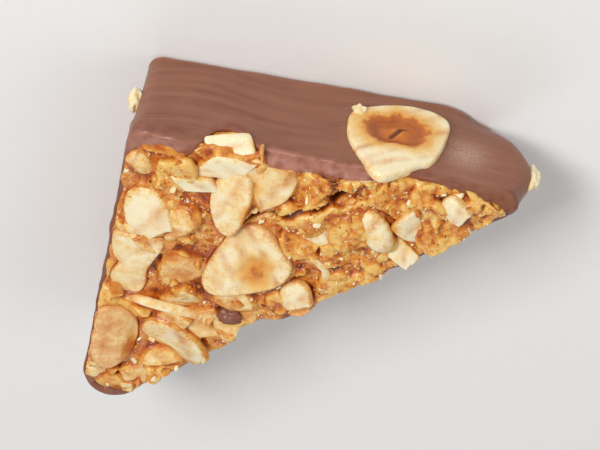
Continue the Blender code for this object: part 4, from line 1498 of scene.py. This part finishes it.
LAY = laying(BAKED_FLAKE)


def laid(rows, name, kinds=FLAKE_KINDS, sink=0.0, swell=1.0):
    """A mesh with one shape for each row of (place, turn, size, kind, tone)."""
    places, turns, sizes, numbers, tones = zip(*rows)
    points = mesh_object("places", places, [], turn=turns, size=sizes, kind=numbers, tone=tones)
    return LAY.grow(points, name, Kinds=kinds, Sink=sink, Swell=swell)


BARE_ROWS, SUNK_ROWS = flake_rows()
flakes = laid(BARE_ROWS, "broken_slices")
store(cut_flush(flakes).data, "low", low_on_layer(flakes))
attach(flakes, "root")
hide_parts("nut_layer")
print(len(BARE_ROWS), "bare slices,", len(SUNK_ROWS), "sunk,", len(flakes.data.polygons), "faces")

# %% [markdown]
# ## Caramel finish
#
# Caramel is a clear amber. Where it is thin over pale nut it looks golden, and where it
# stands thick in the hollows it turns orange, then brown. The deepest hollows and the crack
# are painted darker still, as shade. Real glass-like caramel would be slow to render and
# grainy. A colour that follows the mesh gives the same picture: `hollow` says how deep a point
# lies, also in the crack, `pale` how near a sunk nut is, and `grains` gives each granule its
# own tone.

# %% Caramel
CARAMEL_PALE = colour(237, 192, 106)
CARAMEL_GOLD = colour(226, 158, 68)
CARAMEL = colour(208, 124, 42)
CARAMEL_BROWN = colour(178, 82, 26)
# painted shade: the darkest brown, for the deepest hollows and the crack
CARAMEL_SHADED = colour(104, 48, 20)
# from thin caramel to thick; the dark end is painted shade
CARAMEL_DEPTHS_AND_SHADE = (  # from thin caramel to thick
    (0.08, CARAMEL_PALE), (0.3, CARAMEL_GOLD), (0.5, CARAMEL), (0.7, CARAMEL_BROWN),
    (0.95, CARAMEL_SHADED),
)


def caramel_finish():
    """Glossy caramel over crumbs of nut, darker in its hollows: thicker caramel, and painted shade in the
    deepest hollows and the crack.
    """
    made = Finish("caramel", subsurface=0.15, radius=(1.0, 0.5, 0.2), scale=0.9 * MM)
    hollow, pale, grains = (made.attribute(key) for key in ("hollow", "pale", "grains"))
    patches = made.grain(3.2 * MM, 3.0)
    crumbs = made.grain(1.1 * MM, 3.0, rough=0.6)
    fine = made.grain(0.25 * MM, 3.0)
    depth = made.span(hollow, -1.0, 1.2, 0.05, 1.0)
    for more in (
        made.span(crumbs, 0.3, 0.7, -0.2, 0.2),
        made.span(patches, 0.3, 0.7, -0.16, 0.26),
        made.span(grains, -0.5, 0.5, -0.24, 0.24),
    ):
        depth = made.maths("ADD", depth, more)
    depth = made.maths("SUBTRACT", depth, made.maths("MULTIPLY", pale, 0.2))
    made.set("Base Color", made.steps(depth, *CARAMEL_DEPTHS_AND_SHADE))
    made.set("Roughness", made.span(crumbs, 0.3, 0.7, 0.24, 0.42))
    made.relief((crumbs, 0.1 * MM), (fine, 0.03 * MM))
    return made.material


CARAMEL_COAT = caramel_finish()
print("finish:", CARAMEL_COAT.name)

# %% [markdown]
# ## The caramel under and round the nuts
#
# Caramel runs between the nuts and climbs their sides. Modelled by hand, each of those
# fillets would be a piece of its own. A voxel remesh makes them all at once: a slab with the
# lumpy top, swollen copies of the broken slices and nibs, and a skirt round each whole slice
# are put into one mesh, remeshed to one closed skin, and smoothed. Then noise gives the fine
# pits, a cell pattern the fused granules, and a broken line the crack. The depth of each
# hollow is found by comparing the skin with a smoother copy.

# %% Sizes of the caramel
CORE_GAP = 0.1 * MM
CORE_FLOOR = RECESS_FLOOR + 0.35 * MM
CORE_FOOT = 12.0 * MM  # what lies below is hidden, so there the core is a plain block
VOXEL = 0.21 * MM
SKIN_SINK = -0.24 * MM
SKIN_SWELL = 1.12
EDGE_DROP = 0.35 * MM  # how far the top edge is rounded down
SLAB_RINGS = 40
SLAB_MIDDLE = 0.01  # the size of the innermost ring
SKIRT = ((-1.6, 1.16), (-0.5, 1.12), (-0.1, 1.05), (0.1, 0.99))  # height, size: shares of a slice's


# %% The slab, and what stands in it
def slab():
    """The caramel layer with its lumpy top, without nuts. It covers the rim, out to the cut."""
    sides = outline(RIM_WALL - CORE_GAP, 2)
    middle = sum(sides, Vector((0.0, 0.0))) / len(sides)
    edge = []
    for point, inner in zip(outline(0.0, 2), outline(MM, 2)):
        edge.append(point.lerp(inner, brim(point) / MM))
    rings = [Vector((*point, CORE_FLOOR)) for point in sides]
    rings += [Vector((*point, crest(point) - LIP_THICKNESS)) for point in sides]
    rings += [Vector((*point, crest(point))) for point in edge]
    rings += [Vector((*point, caramel_height(point) - EDGE_DROP)) for point in edge]
    shares = [1.0 - step / SLAB_RINGS for step in range(1, SLAB_RINGS)] + [SLAB_MIDDLE]
    for share in shares:
        for point in edge:
            place = middle.lerp(point, share)
            rings.append(Vector((*place, caramel_height(place))))
    return mesh_object("slab", rings, skin_faces(len(shares) + 4, len(sides)))


def skirt(matrix, loop):
    """The caramel that climbs the side of a whole slice."""
    rings = []
    for level, swell in SKIRT:
        for point in loop:
            rings.append(matrix @ Vector((*(point * swell), level * SLICE_THICKNESS)))
    return mesh_object("skirt", rings, skin_faces(len(SKIRT), len(loop)))


BIT_SIZE = (0.42, 0.55)  # how far a corner of a bit is from its middle
NIB_HEIGHT = 0.65  # as a share of its length
NIB_TONES = (0.1, 1.0)
NIB_COUNT = 4  # kinds of nib


def broken_bit(name, corners, seed, bevel):
    """A chip of broken nut: flat sides between a few corners about one unit apart."""
    solid = bmesh.new()
    draw = random.Random(seed)
    for each in range(corners):
        way = Vector([draw.gauss(0.0, 1.0) for axis in range(3)]).normalized()
        solid.verts.new(way * draw.uniform(*BIT_SIZE))
    hull = bmesh.ops.convex_hull(solid, input=solid.verts)
    inner = list({*hull["geom_interior"], *hull["geom_unused"]})
    bmesh.ops.delete(solid, geom=inner, context="VERTS")
    bmesh.ops.bevel(
        solid, geom=solid.edges, offset=bevel, segments=1, affect="EDGES", clamp_overlap=True
    )
    bmesh.ops.triangulate(solid, faces=solid.faces)
    bmesh.ops.recalc_face_normals(solid, faces=solid.faces)
    mesh = bpy.data.meshes.new(name)
    solid.to_mesh(mesh)
    solid.free()
    return link(bpy.data.objects.new(name, mesh))


def bits_of(name, count, corners, first_seed, bevel):
    """A collection of broken bits, each from a seed of its own."""
    seeds = range(first_seed, first_seed + count)
    return kinds_of(name, [broken_bit(f"{name} {seed}", corners, seed, bevel) for seed in seeds])


def nib_rows():
    """The place, turn, size, kind and tone of each nib."""
    draw = random.Random(FINE_SEED)
    rows = []
    for along, back, length, width, *pose in NIBS:
        size = (width * MM, length * MM, length * NIB_HEIGHT * MM)
        place, turn = lying_at(along, back, pose[3]), turned(*pose[:3])
        rows.append((place, turn, size, draw.randrange(NIB_COUNT), draw.uniform(*NIB_TONES)))
    return rows


CLEAN = (0, 2, 5, 8, 9, 10, 11, 12, 13)  # the large shards that lie on top, free of caramel
NIB_KINDS = bits_of("nib", NIB_COUNT, corners=11, first_seed=0, bevel=0.05)
covered = [row for number, row in enumerate(BARE_ROWS) if number not in CLEAN] + SUNK_ROWS
skin = laid(covered, "skin", FLAKE_KINDS, SKIN_SINK, SKIN_SWELL)
stones = laid(nib_rows(), "stones", NIB_KINDS, SKIN_SINK, SKIN_SWELL)
sunk = laid(SUNK_ROWS, "sunk")
print("caramel is made from a slab,", len(SHARDS), "slices and", len(NIBS), "nibs")


# %% One skin of it all
def joined(name, pieces):
    """One object of several."""
    points, faces = [], []
    for piece in pieces:
        first = len(points)
        points += [vert.co.copy() for vert in piece.data.vertices]
        faces += [tuple(first + number for number in face.vertices) for face in piece.data.polygons]
        bpy.data.objects.remove(piece)
    return mesh_object(name, points, faces)


def one_skin(piece, name):
    """The piece remeshed to one closed skin, with a plain block below its foot."""
    remesh = piece.modifiers.new("one skin", "REMESH")
    remesh.mode = "VOXEL"
    remesh.voxel_size = VOXEL
    piece = baked(piece, name)
    solid = bmesh.new()
    solid.from_mesh(piece.data)
    everything = solid.verts[:] + solid.edges[:] + solid.faces[:]
    cut = {"plane_co": (0.0, 0.0, CORE_FOOT), "plane_no": (0.0, 0.0, 1.0), "clear_inner": True}
    bmesh.ops.bisect_plane(solid, geom=everything, **cut)
    rim = [edge for edge in solid.edges if edge.is_boundary]
    below = bmesh.ops.extrude_edge_only(solid, edges=rim)["geom"]
    for vert in below:
        if isinstance(vert, bmesh.types.BMVert):
            vert.co.z = CORE_FLOOR
    bmesh.ops.holes_fill(solid, edges=[edge for edge in solid.edges if edge.is_boundary])
    bmesh.ops.recalc_face_normals(solid, faces=solid.faces)
    solid.to_mesh(piece.data)
    solid.free()
    return piece


skirts = [cut_flush(skirt(*bed)) for bed in SLICE_BEDS]
mix = joined("mix", [slab(), cut_flush(skin), cut_flush(stones), *skirts])
caramel = one_skin(mix, "caramel_layer")
print("one skin:", len(caramel.data.polygons), "faces")


# %% Tools for the skin's relief
SMOOTH_PASSES = 4
SMOOTH_SHARE = 0.5  # how far each pass moves a point towards its neighbours
HOLLOW_PASSES = 22
HOLLOW_SHARE = 0.6
HOLLOW_DEPTH = 0.3 * MM
PITS = ((2.2 * MM, 0.2 * MM), (0.8 * MM, 0.07 * MM), (0.4 * MM, 0.025 * MM))  # size and depth
GRANULE = 1.5 * MM
GRANULE_HEIGHT = 0.15 * MM
GRANULE_TURN = (12.0 * MM, 30.0 * MM)  # along the front wall, where the granules begin to show
GRANULE_SHARE = (0.3, 1.0)  # how high they are before that, and after
GRANULE_GAP = 0.5  # how wide the dips between them are
TONE_FINENESS = 5.3  # so that neighbours get tones of their own
CRACK_DEPTH = 2.2 * MM
CRACK_WIDTH = 0.45 * MM
CRACK_WAVE = (0.8, 0.6, 1.5 * MM)  # its usual depth, how much that varies, over what length
# painted shade in the crack: how much darker the caramel's colour is made there
CRACK_SHADE = 2.0
BED = 0.1 * MM  # how far the caramel reaches up into a slice that lies on it
BED_ROOM = 1.08  # no chip lies nearer to a slice than this share of its size
PALE_DEPTH = 0.6 * MM  # how thick the caramel over a sunk nut is where it looks golden


def neighbour_mean(values, ends, count):
    """For each point of a mesh, the mean of the values at its neighbours."""
    total = np.empty_like(values)
    for axis in range(values.shape[1]):
        total[:, axis] = np.bincount(ends[:, 0], values[ends[:, 1], axis], len(values))
        total[:, axis] += np.bincount(ends[:, 1], values[ends[:, 0], axis], len(values))
    return total / count[:, None]


def in_loop(places, loop):
    """Which places are inside a closed line: an odd number of its sides lies to their right."""
    inside = np.zeros(len(places), bool)
    for a, b in zip(loop, loop[1:] + loop[:1]):
        if a.y == b.y:
            continue
        crosses = (places[:, 1] < a.y) != (places[:, 1] < b.y)
        inside ^= crosses & (places[:, 0] < a.x + (places[:, 1] - a.y) * (b.x - a.x) / (b.y - a.y))
    return inside


def granule(place):
    """Height, from 0 between granules to 1 on one, and a tone of its own for each."""
    distances, centres = noise.voronoi(place / GRANULE)
    height = smooth_step(0.0, GRANULE_GAP, distances[1] - distances[0])
    return height, noise.noise(centres[0] * TONE_FINENESS)


# %% Relief, and what the finish reads
def shape_skin(core):
    """Smooths the skin, pits it and cracks it, and keeps the hollows and granules on it."""
    mesh = core.data
    points = read(mesh.vertices, "co", 3)
    top = points[:, 2] > CORE_FOOT + VOXEL
    ends = read(mesh.edges, "vertices", 2, np.int64)
    count = np.bincount(ends.ravel(), minlength=len(points)).astype(float)
    for each in range(SMOOTH_PASSES):
        points[top] += SMOOTH_SHARE * (neighbour_mean(points, ends, count) - points)[top]
    mesh.vertices.foreach_set("co", points.ravel())
    mesh.update()
    normals = read(mesh.vertices, "normal", 3)
    grainy = np.interp(RIGHT_CORNER.x - points[:, 0], GRANULE_TURN, GRANULE_SHARE)
    granules = np.array([granule(Vector(point)) for point in points])
    relief = GRANULE_HEIGHT * grainy * (granules[:, 0] - 0.5)
    for size, depth in PITS:
        relief += [depth * noise.noise(Vector(point) / size) for point in points]
    points[top] += (normals * relief[:, None])[top]
    usual, change, length = CRACK_WAVE
    crack = np.exp(-((off_crack(points) / CRACK_WIDTH) ** 2))
    crack *= [usual + change * noise.noise(Vector(point) / length) for point in points]
    points[top, 2] -= (CRACK_DEPTH * crack)[top]
    smoother = points.copy()
    for each in range(HOLLOW_PASSES):
        smoother += HOLLOW_SHARE * (neighbour_mean(smoother, ends, count) - smoother)
    # the hollow's depth darkens the caramel's colour, and the crack is painted darker still as shade
    hollow = ((smoother - points) * normals).sum(axis=1) / HOLLOW_DEPTH + CRACK_SHADE * crack
    store(mesh, "hollow", hollow)
    store(mesh, "grains", granules[:, 1] * grainy)
    return points


def free_places(points):
    """1 where chips may lie, and 0 in the crack and under the whole slices and the bare ones."""
    free = (off_crack(points) > CRACK_WIDTH).astype(float)
    for matrix, loop in SLICE_BEDS:
        local = (points - np.array(matrix.translation)) @ np.array(matrix.to_3x3())
        free[in_loop(local, [point * BED_ROOM for point in loop])] = 0.0
    for place, turn, size, kind, tone in BARE_ROWS:
        local = (points - np.array(place)) @ np.array(turn.to_matrix())
        free[np.hypot(local[:, 0] / size[0], local[:, 1] / size[1]) < 0.5] = 0.0
    return free


def bedded(points):
    """The points, lowered where a whole slice lies on them."""
    for matrix, loop in SLICE_BEDS:
        turn, place = np.array(matrix.to_3x3()), np.array(matrix.translation)
        local = (points - place) @ turn
        under = in_loop(local, loop) & (local[:, 2] > -SLICE_THICKNESS / 2 + BED)
        local[under, 2] = -SLICE_THICKNESS / 2 + BED
        points[under] = (local @ turn.T + place)[under]
    return points


def near_nuts(points, nuts):
    """1 at a sunk nut's surface, down to 0 where the caramel is thick."""
    cut_flush(nuts)
    faces = [tuple(face.vertices) for face in nuts.data.polygons]
    tree = BVHTree.FromPolygons([vert.co for vert in nuts.data.vertices], faces)
    bpy.data.objects.remove(nuts)
    gaps = [tree.find_nearest(Vector(point))[3] for point in points]
    return [1.0 - smooth_step(0.0, PALE_DEPTH, gap) for gap in gaps]


skin_points = shape_skin(caramel)
store(caramel.data, "pale", near_nuts(skin_points, sunk))
store(caramel.data, "free", free_places(skin_points))
caramel.data.vertices.foreach_set("co", bedded(skin_points).ravel())
caramel.data.shade_smooth()
caramel.data.materials.append(CARAMEL_COAT)
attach(caramel, "root")
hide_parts("nut_layer")
print("caramel:", len(caramel.data.polygons), "faces")

# %% [markdown]
# ## Chips and crumbs
#
# The chopping leaves chips of one or two millimetres and finer crumbs, which stick to the
# caramel everywhere. They are strewn: the tree spreads points over the upward faces of the
# caramel, never closer than `Spacing`, and puts a lump on each with its own turn, size and
# tone, moved down by a negative `Sink`. Their sides stay flat, as broken nut is. Larger nibs
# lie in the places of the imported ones, so the tree of the broken slices lays them.

# %% Chip finish
NUT_SKIN = colour(112, 58, 34)
CHIP_TONES = (
    (0.2, NUT_WHITE), (0.38, NUT_CREAM), (0.52, NUT_YELLOW), (0.72, NUT_GOLD), (0.9, NUT_AMBER),
    (1.04, NUT_SKIN),
)


def chip_finish():
    """Broken nut: from white through gold to amber, by the tone of each chip."""
    made = Finish("nut_chip", 0.5, subsurface=0.15, radius=(1.0, 0.6, 0.3), scale=0.6 * MM)
    fine = made.grain(0.4 * MM, 3.0)
    tone = made.maths("ADD", made.attribute("tone"), made.span(fine, 0.3, 0.7, -0.1, 0.1))
    made.set("Base Color", made.steps(tone, *CHIP_TONES))
    made.set("Roughness", made.span(fine, 0.3, 0.7, 0.38, 0.55))
    made.relief((fine, 0.05 * MM))
    return made.material


NUT_CHIP = chip_finish()


# %% The tree that strews them
UPWARD = (0.2, 0.6)  # the upward part of a face's normal, from no chips to the full number
SIZE_POWER = 2.0  # above 1, small ones come more often than large ones
SHAPE_LEAST, SHAPE_MOST = (0.7, 0.6, 0.35), (1.0, 1.0, 0.75)  # length, width and height
KIND_DRAWS = 99  # past the last kind, the tree counts through them again


def strewing(seed):
    """The tree that strews lumps over the caramel's upward faces."""
    named = {key: "Float" for key in ("Spacing", "Density", "Least", "Most", "Sink")}
    grow = Growth("strew over caramel", Kinds="Collection", **named)
    normal = grow.add("GeometryNodeInputNormal").outputs[0]
    facing = grow.add("ShaderNodeSeparateXYZ", [(0, normal)]).outputs["Z"]
    inputs = [("Value", facing), ("From Min", UPWARD[0]), ("From Max", UPWARD[1])]
    up = grow.add("ShaderNodeMapRange", inputs).outputs[0]
    share = grow.add("ShaderNodeMath", [(0, up), (1, grow.named("free"))], operation="MULTIPLY")
    inputs = [("Mesh", grow.inputs["Geometry"]), ("Distance Min", grow.inputs["Spacing"])]
    inputs += [("Density Max", grow.inputs["Density"]), ("Density Factor", share.outputs[0])]
    inputs.append(("Seed", seed))
    kind = "GeometryNodeDistributePointsOnFaces"
    spread = grow.add(kind, inputs, distribute_method="POISSON").outputs[0]
    inputs = [("Geometry", grow.lifted(spread, grow.inputs["Sink"])), ("Name", "tone")]
    inputs.append(("Value", grow.drawn(0.0, 1.0, seed + 1)))
    toned = grow.add("GeometryNodeStoreNamedAttribute", inputs).outputs[0]
    turn = grow.drawn((0.0, 0.0, 0.0), (math.tau,) * 3, seed + 2, "FLOAT_VECTOR")
    inputs = [(0, grow.drawn(0.0, 1.0, seed + 3)), (1, SIZE_POWER)]
    skewed = grow.add("ShaderNodeMath", inputs, operation="POWER").outputs[0]
    inputs = [("Value", skewed), ("To Min", grow.inputs["Least"]), ("To Max", grow.inputs["Most"])]
    size = grow.add("ShaderNodeMapRange", inputs).outputs[0]
    shape = grow.drawn(SHAPE_LEAST, SHAPE_MOST, seed + 4, "FLOAT_VECTOR")
    number = grow.drawn(0, KIND_DRAWS, seed + 5, "INT")
    lumps = grow.strew(toned, grow.inputs["Kinds"], number, turn, grow.scaled(shape, size))
    grow.end(lumps, NUT_CHIP)
    return grow


# %% Strew chips and crumbs
CHIP_SEED = 11
CRUMB_SEED = 12
CHIP_KINDS = bits_of("chip", 5, corners=10, first_seed=20, bevel=0.06)
CRUMB_KINDS = bits_of("crumb", 5, corners=7, first_seed=40, bevel=0.0)


def strewn(name, seed, kinds, **sizes):
    """One piece of many lumps on the caramel."""
    bed = link(bpy.data.objects.new("bed", caramel.data.copy()))
    made = cut_flush(strewing(seed).grow(bed, name, Kinds=kinds, **sizes))
    made.data.shade_flat()
    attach(made, "root")
    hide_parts("nut_layer")
    print(name, "has", len(made.data.polygons), "faces")


strewn(
    "nut_chips", CHIP_SEED, CHIP_KINDS,
    Spacing=1.5 * MM, Density=1.2e6, Least=0.8 * MM, Most=2.6 * MM, Sink=-0.05 * MM,
)
strewn(
    "nut_crumbs", CRUMB_SEED, CRUMB_KINDS,
    Spacing=0.5 * MM, Density=1e7, Least=0.3 * MM, Most=0.9 * MM, Sink=-0.02 * MM,
)

# %% Lay the nibs
NIB_SINK = -0.45 * MM
loose = [row for row in nib_rows() if off_crack([row[0]])[0] > CRACK_ROOM]
nibs = cut_flush(laid(loose, "chopped_nibs", NIB_KINDS, NIB_SINK))
nibs.data.materials.clear()
nibs.data.materials.append(NUT_CHIP)
nibs.data.shade_flat()
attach(nibs, "root")
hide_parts("nut_layer")
print("chopped_nibs has", len(nibs.data.polygons), "faces")

# %% [markdown]
# ## Stray bits
#
# Crumbs of nut stuck to the wet chocolate walls: one by the right angle, one at the left tip,
# and one on the corner of the front slice. A small lump of dark chocolate lies among the
# nuts. Each is a ball of fine faces, roughened by noise: a cube or a plain ball would never
# look broken.

# %% Rough lumps
WALL_BITS = (  # along, back, height, then width, length and height of the bit, all in mm
    (-0.3, 2.8, 7.2, 1.8, 3.2, 3.0),
    (51.3, 2.2, 9.6, 1.8, 1.7, 4.0),
    (28.2, -0.7, 5.6, 1.9, 1.1, 1.7),
)
CHOCOLATE_BITS = ((16.0, 29.6, 16.5, 3.4, 2.4, 1.8),)
ROUGH = ((3.1, 0.35), (9.0, 0.12))  # how fine and how strong
BALL_FINENESS = 4


def rough_lumps(name, bits, finish, slot, **attributes):
    """One piece of rough lumps, each at its own place and size."""
    points, faces = [], []
    for along, back, height, *size in bits:
        solid = bmesh.new()
        bmesh.ops.create_icosphere(solid, subdivisions=BALL_FINENESS, radius=0.5)
        first = len(points)
        for vert in solid.verts:
            waves = [part * noise.noise(vert.co * often + Vector(size)) for often, part in ROUGH]
            swell = 1.0 + sum(waves)
            place = Vector([way * MM * length * swell for way, length in zip(vert.co, size)])
            points.append(place + Vector((*spot(along * MM, back * MM), height * MM)))
        faces += [tuple(first + vert.index for vert in face.verts) for face in solid.faces]
        solid.free()
    values = {key: [value] * len(points) for key, value in attributes.items()}
    piece = mesh_object(name, points, faces, **values)
    piece.data.materials.append(finish)
    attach(piece, "root")
    print(name, "has", len(piece.data.polygons), "faces")


rough_lumps("wall_bits", WALL_BITS, PALE_NUT, "pale_nut", tone=0.1, eye=1.8)
rough_lumps("chocolate_bits", CHOCOLATE_BITS, MILK_CHOCOLATE, "milk_chocolate", thin=0.9)

# %% [markdown]
# ## Floor, light and camera
#
# A pale floor and large soft lamps show form without hard shadows. The camera looks down at
# 45 degrees on the front wall and the nuts. It's rolled by about 190 degrees, because in the
# picture the biscuit leans with its wall towards the top. A long lens keeps the walls parallel.

# %% Floor
FLOOR_SIZE = 3.0
FLOOR_COLOURS = ((0.84, 0.835, 0.825), (0.86, 0.855, 0.85))


def floor_finish():
    """Matt pale paper with the faintest grain."""
    made = Finish("pale_floor", 0.9)
    grain = made.grain(2.0 * MM, 3.0)
    made.set("Base Color", made.mix(grain, *FLOOR_COLOURS))
    return made.material


half = FLOOR_SIZE / 2
floor_corners = [(-half, -half, 0.0), (half, -half, 0.0), (half, half, 0.0), (-half, half, 0.0)]
floor = mesh_object("floor", floor_corners, [(0, 1, 2, 3)])
floor.data.materials.append(floor_finish())
floor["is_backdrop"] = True
print("floor:", FLOOR_SIZE, "m wide")

# %% Camera
VIEW_RIGHT = Vector((-0.986, -0.118, -0.120))
VIEW_UP = Vector((0.168, -0.695, -0.699))
VIEW_WIDTH = 79.5 * MM  # what the picture shows across, at the biscuit
LENS = 200.0
SENSOR = 36.0

view_back = VIEW_RIGHT.cross(VIEW_UP).normalized()
view_up = view_back.cross(VIEW_RIGHT).normalized()
turn = Matrix((view_up.cross(view_back), view_up, view_back)).transposed()
walls = [Vector((*point, z)) for point in outline(0.0) for z in (0.0, RIM_HEIGHT)]
seen = [turn.transposed() @ point for point in walls]
ends = [(min(point[axis] for point in seen), max(point[axis] for point in seen)) for axis in range(3)]
aim = turn @ Vector([(high + low) / 2 for low, high in ends])
distance = VIEW_WIDTH * LENS / SENSOR

camera = link(bpy.data.objects.new("camera", bpy.data.cameras.new("camera")))
camera.data.lens = LENS
camera.data.sensor_width = SENSOR
camera.data.clip_start = 0.01
camera.matrix_world = Matrix.Translation(aim + view_back * distance) @ turn.to_4x4()
bpy.context.scene.camera = camera
across, upward = ((high - low) / MM for low, high in ends[:2])
print("the walls, as the camera sees them:", round(across), "by", round(upward), "mm")


# %% Lamps
SKY = (1.0, 0.99, 0.97, 1.0)
SKY_STRENGTH = 0.33


def lamp(name, place, size, power, warmth=1.0):
    """A square soft lamp that looks at the biscuit; below 1, its light is warmer."""
    light = bpy.data.lights.new(name, "AREA")
    light.size = size
    light.energy = power
    light.color = (1.0, warmth, warmth * warmth)
    made = link(bpy.data.objects.new(name, light))
    made.matrix_world = Vector(place).to_track_quat("Z", "Y").to_matrix().to_4x4()
    made.location = place


lamp("key", (0.24, -0.34, 0.36), 0.20, 2.0, 0.985)
lamp("fill", (-0.40, -0.10, 0.35), 0.40, 0.5)
lamp("back", (0.05, 0.40, 0.38), 0.35, 0.45)
world = bpy.data.worlds.new("studio")
world.use_nodes = True
sky = world.node_tree.nodes["Background"]
sky.inputs["Color"].default_value = SKY
sky.inputs["Strength"].default_value = SKY_STRENGTH
bpy.context.scene.world = world
bpy.context.scene.view_settings.view_transform = "Standard"
print("lamps:", len(bpy.data.lights))

# %% [markdown]
# ## Check the size and finish
#
# The drawn shapes that the trees used are removed, and the box of the dressed biscuit is
# printed beside that of the imported solids.

# %% Sizes, and the end
for group in (FLAKE_KINDS, NIB_KINDS, CHIP_KINDS, CRUMB_KINDS):
    for shape in list(group.objects):
        bpy.data.objects.remove(shape)
    bpy.data.collections.remove(group)


def plain_box(box):
    """A box as plain lists of numbers."""
    return [[float(value) for value in corner] for corner in box]


dressed_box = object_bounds()
sizes = {"packed": plain_box(packed_box), "dressed": plain_box(dressed_box)}
for key, box in sizes.items():
    print(key, [[round(value / MM, 2) for value in corner] for corner in box])
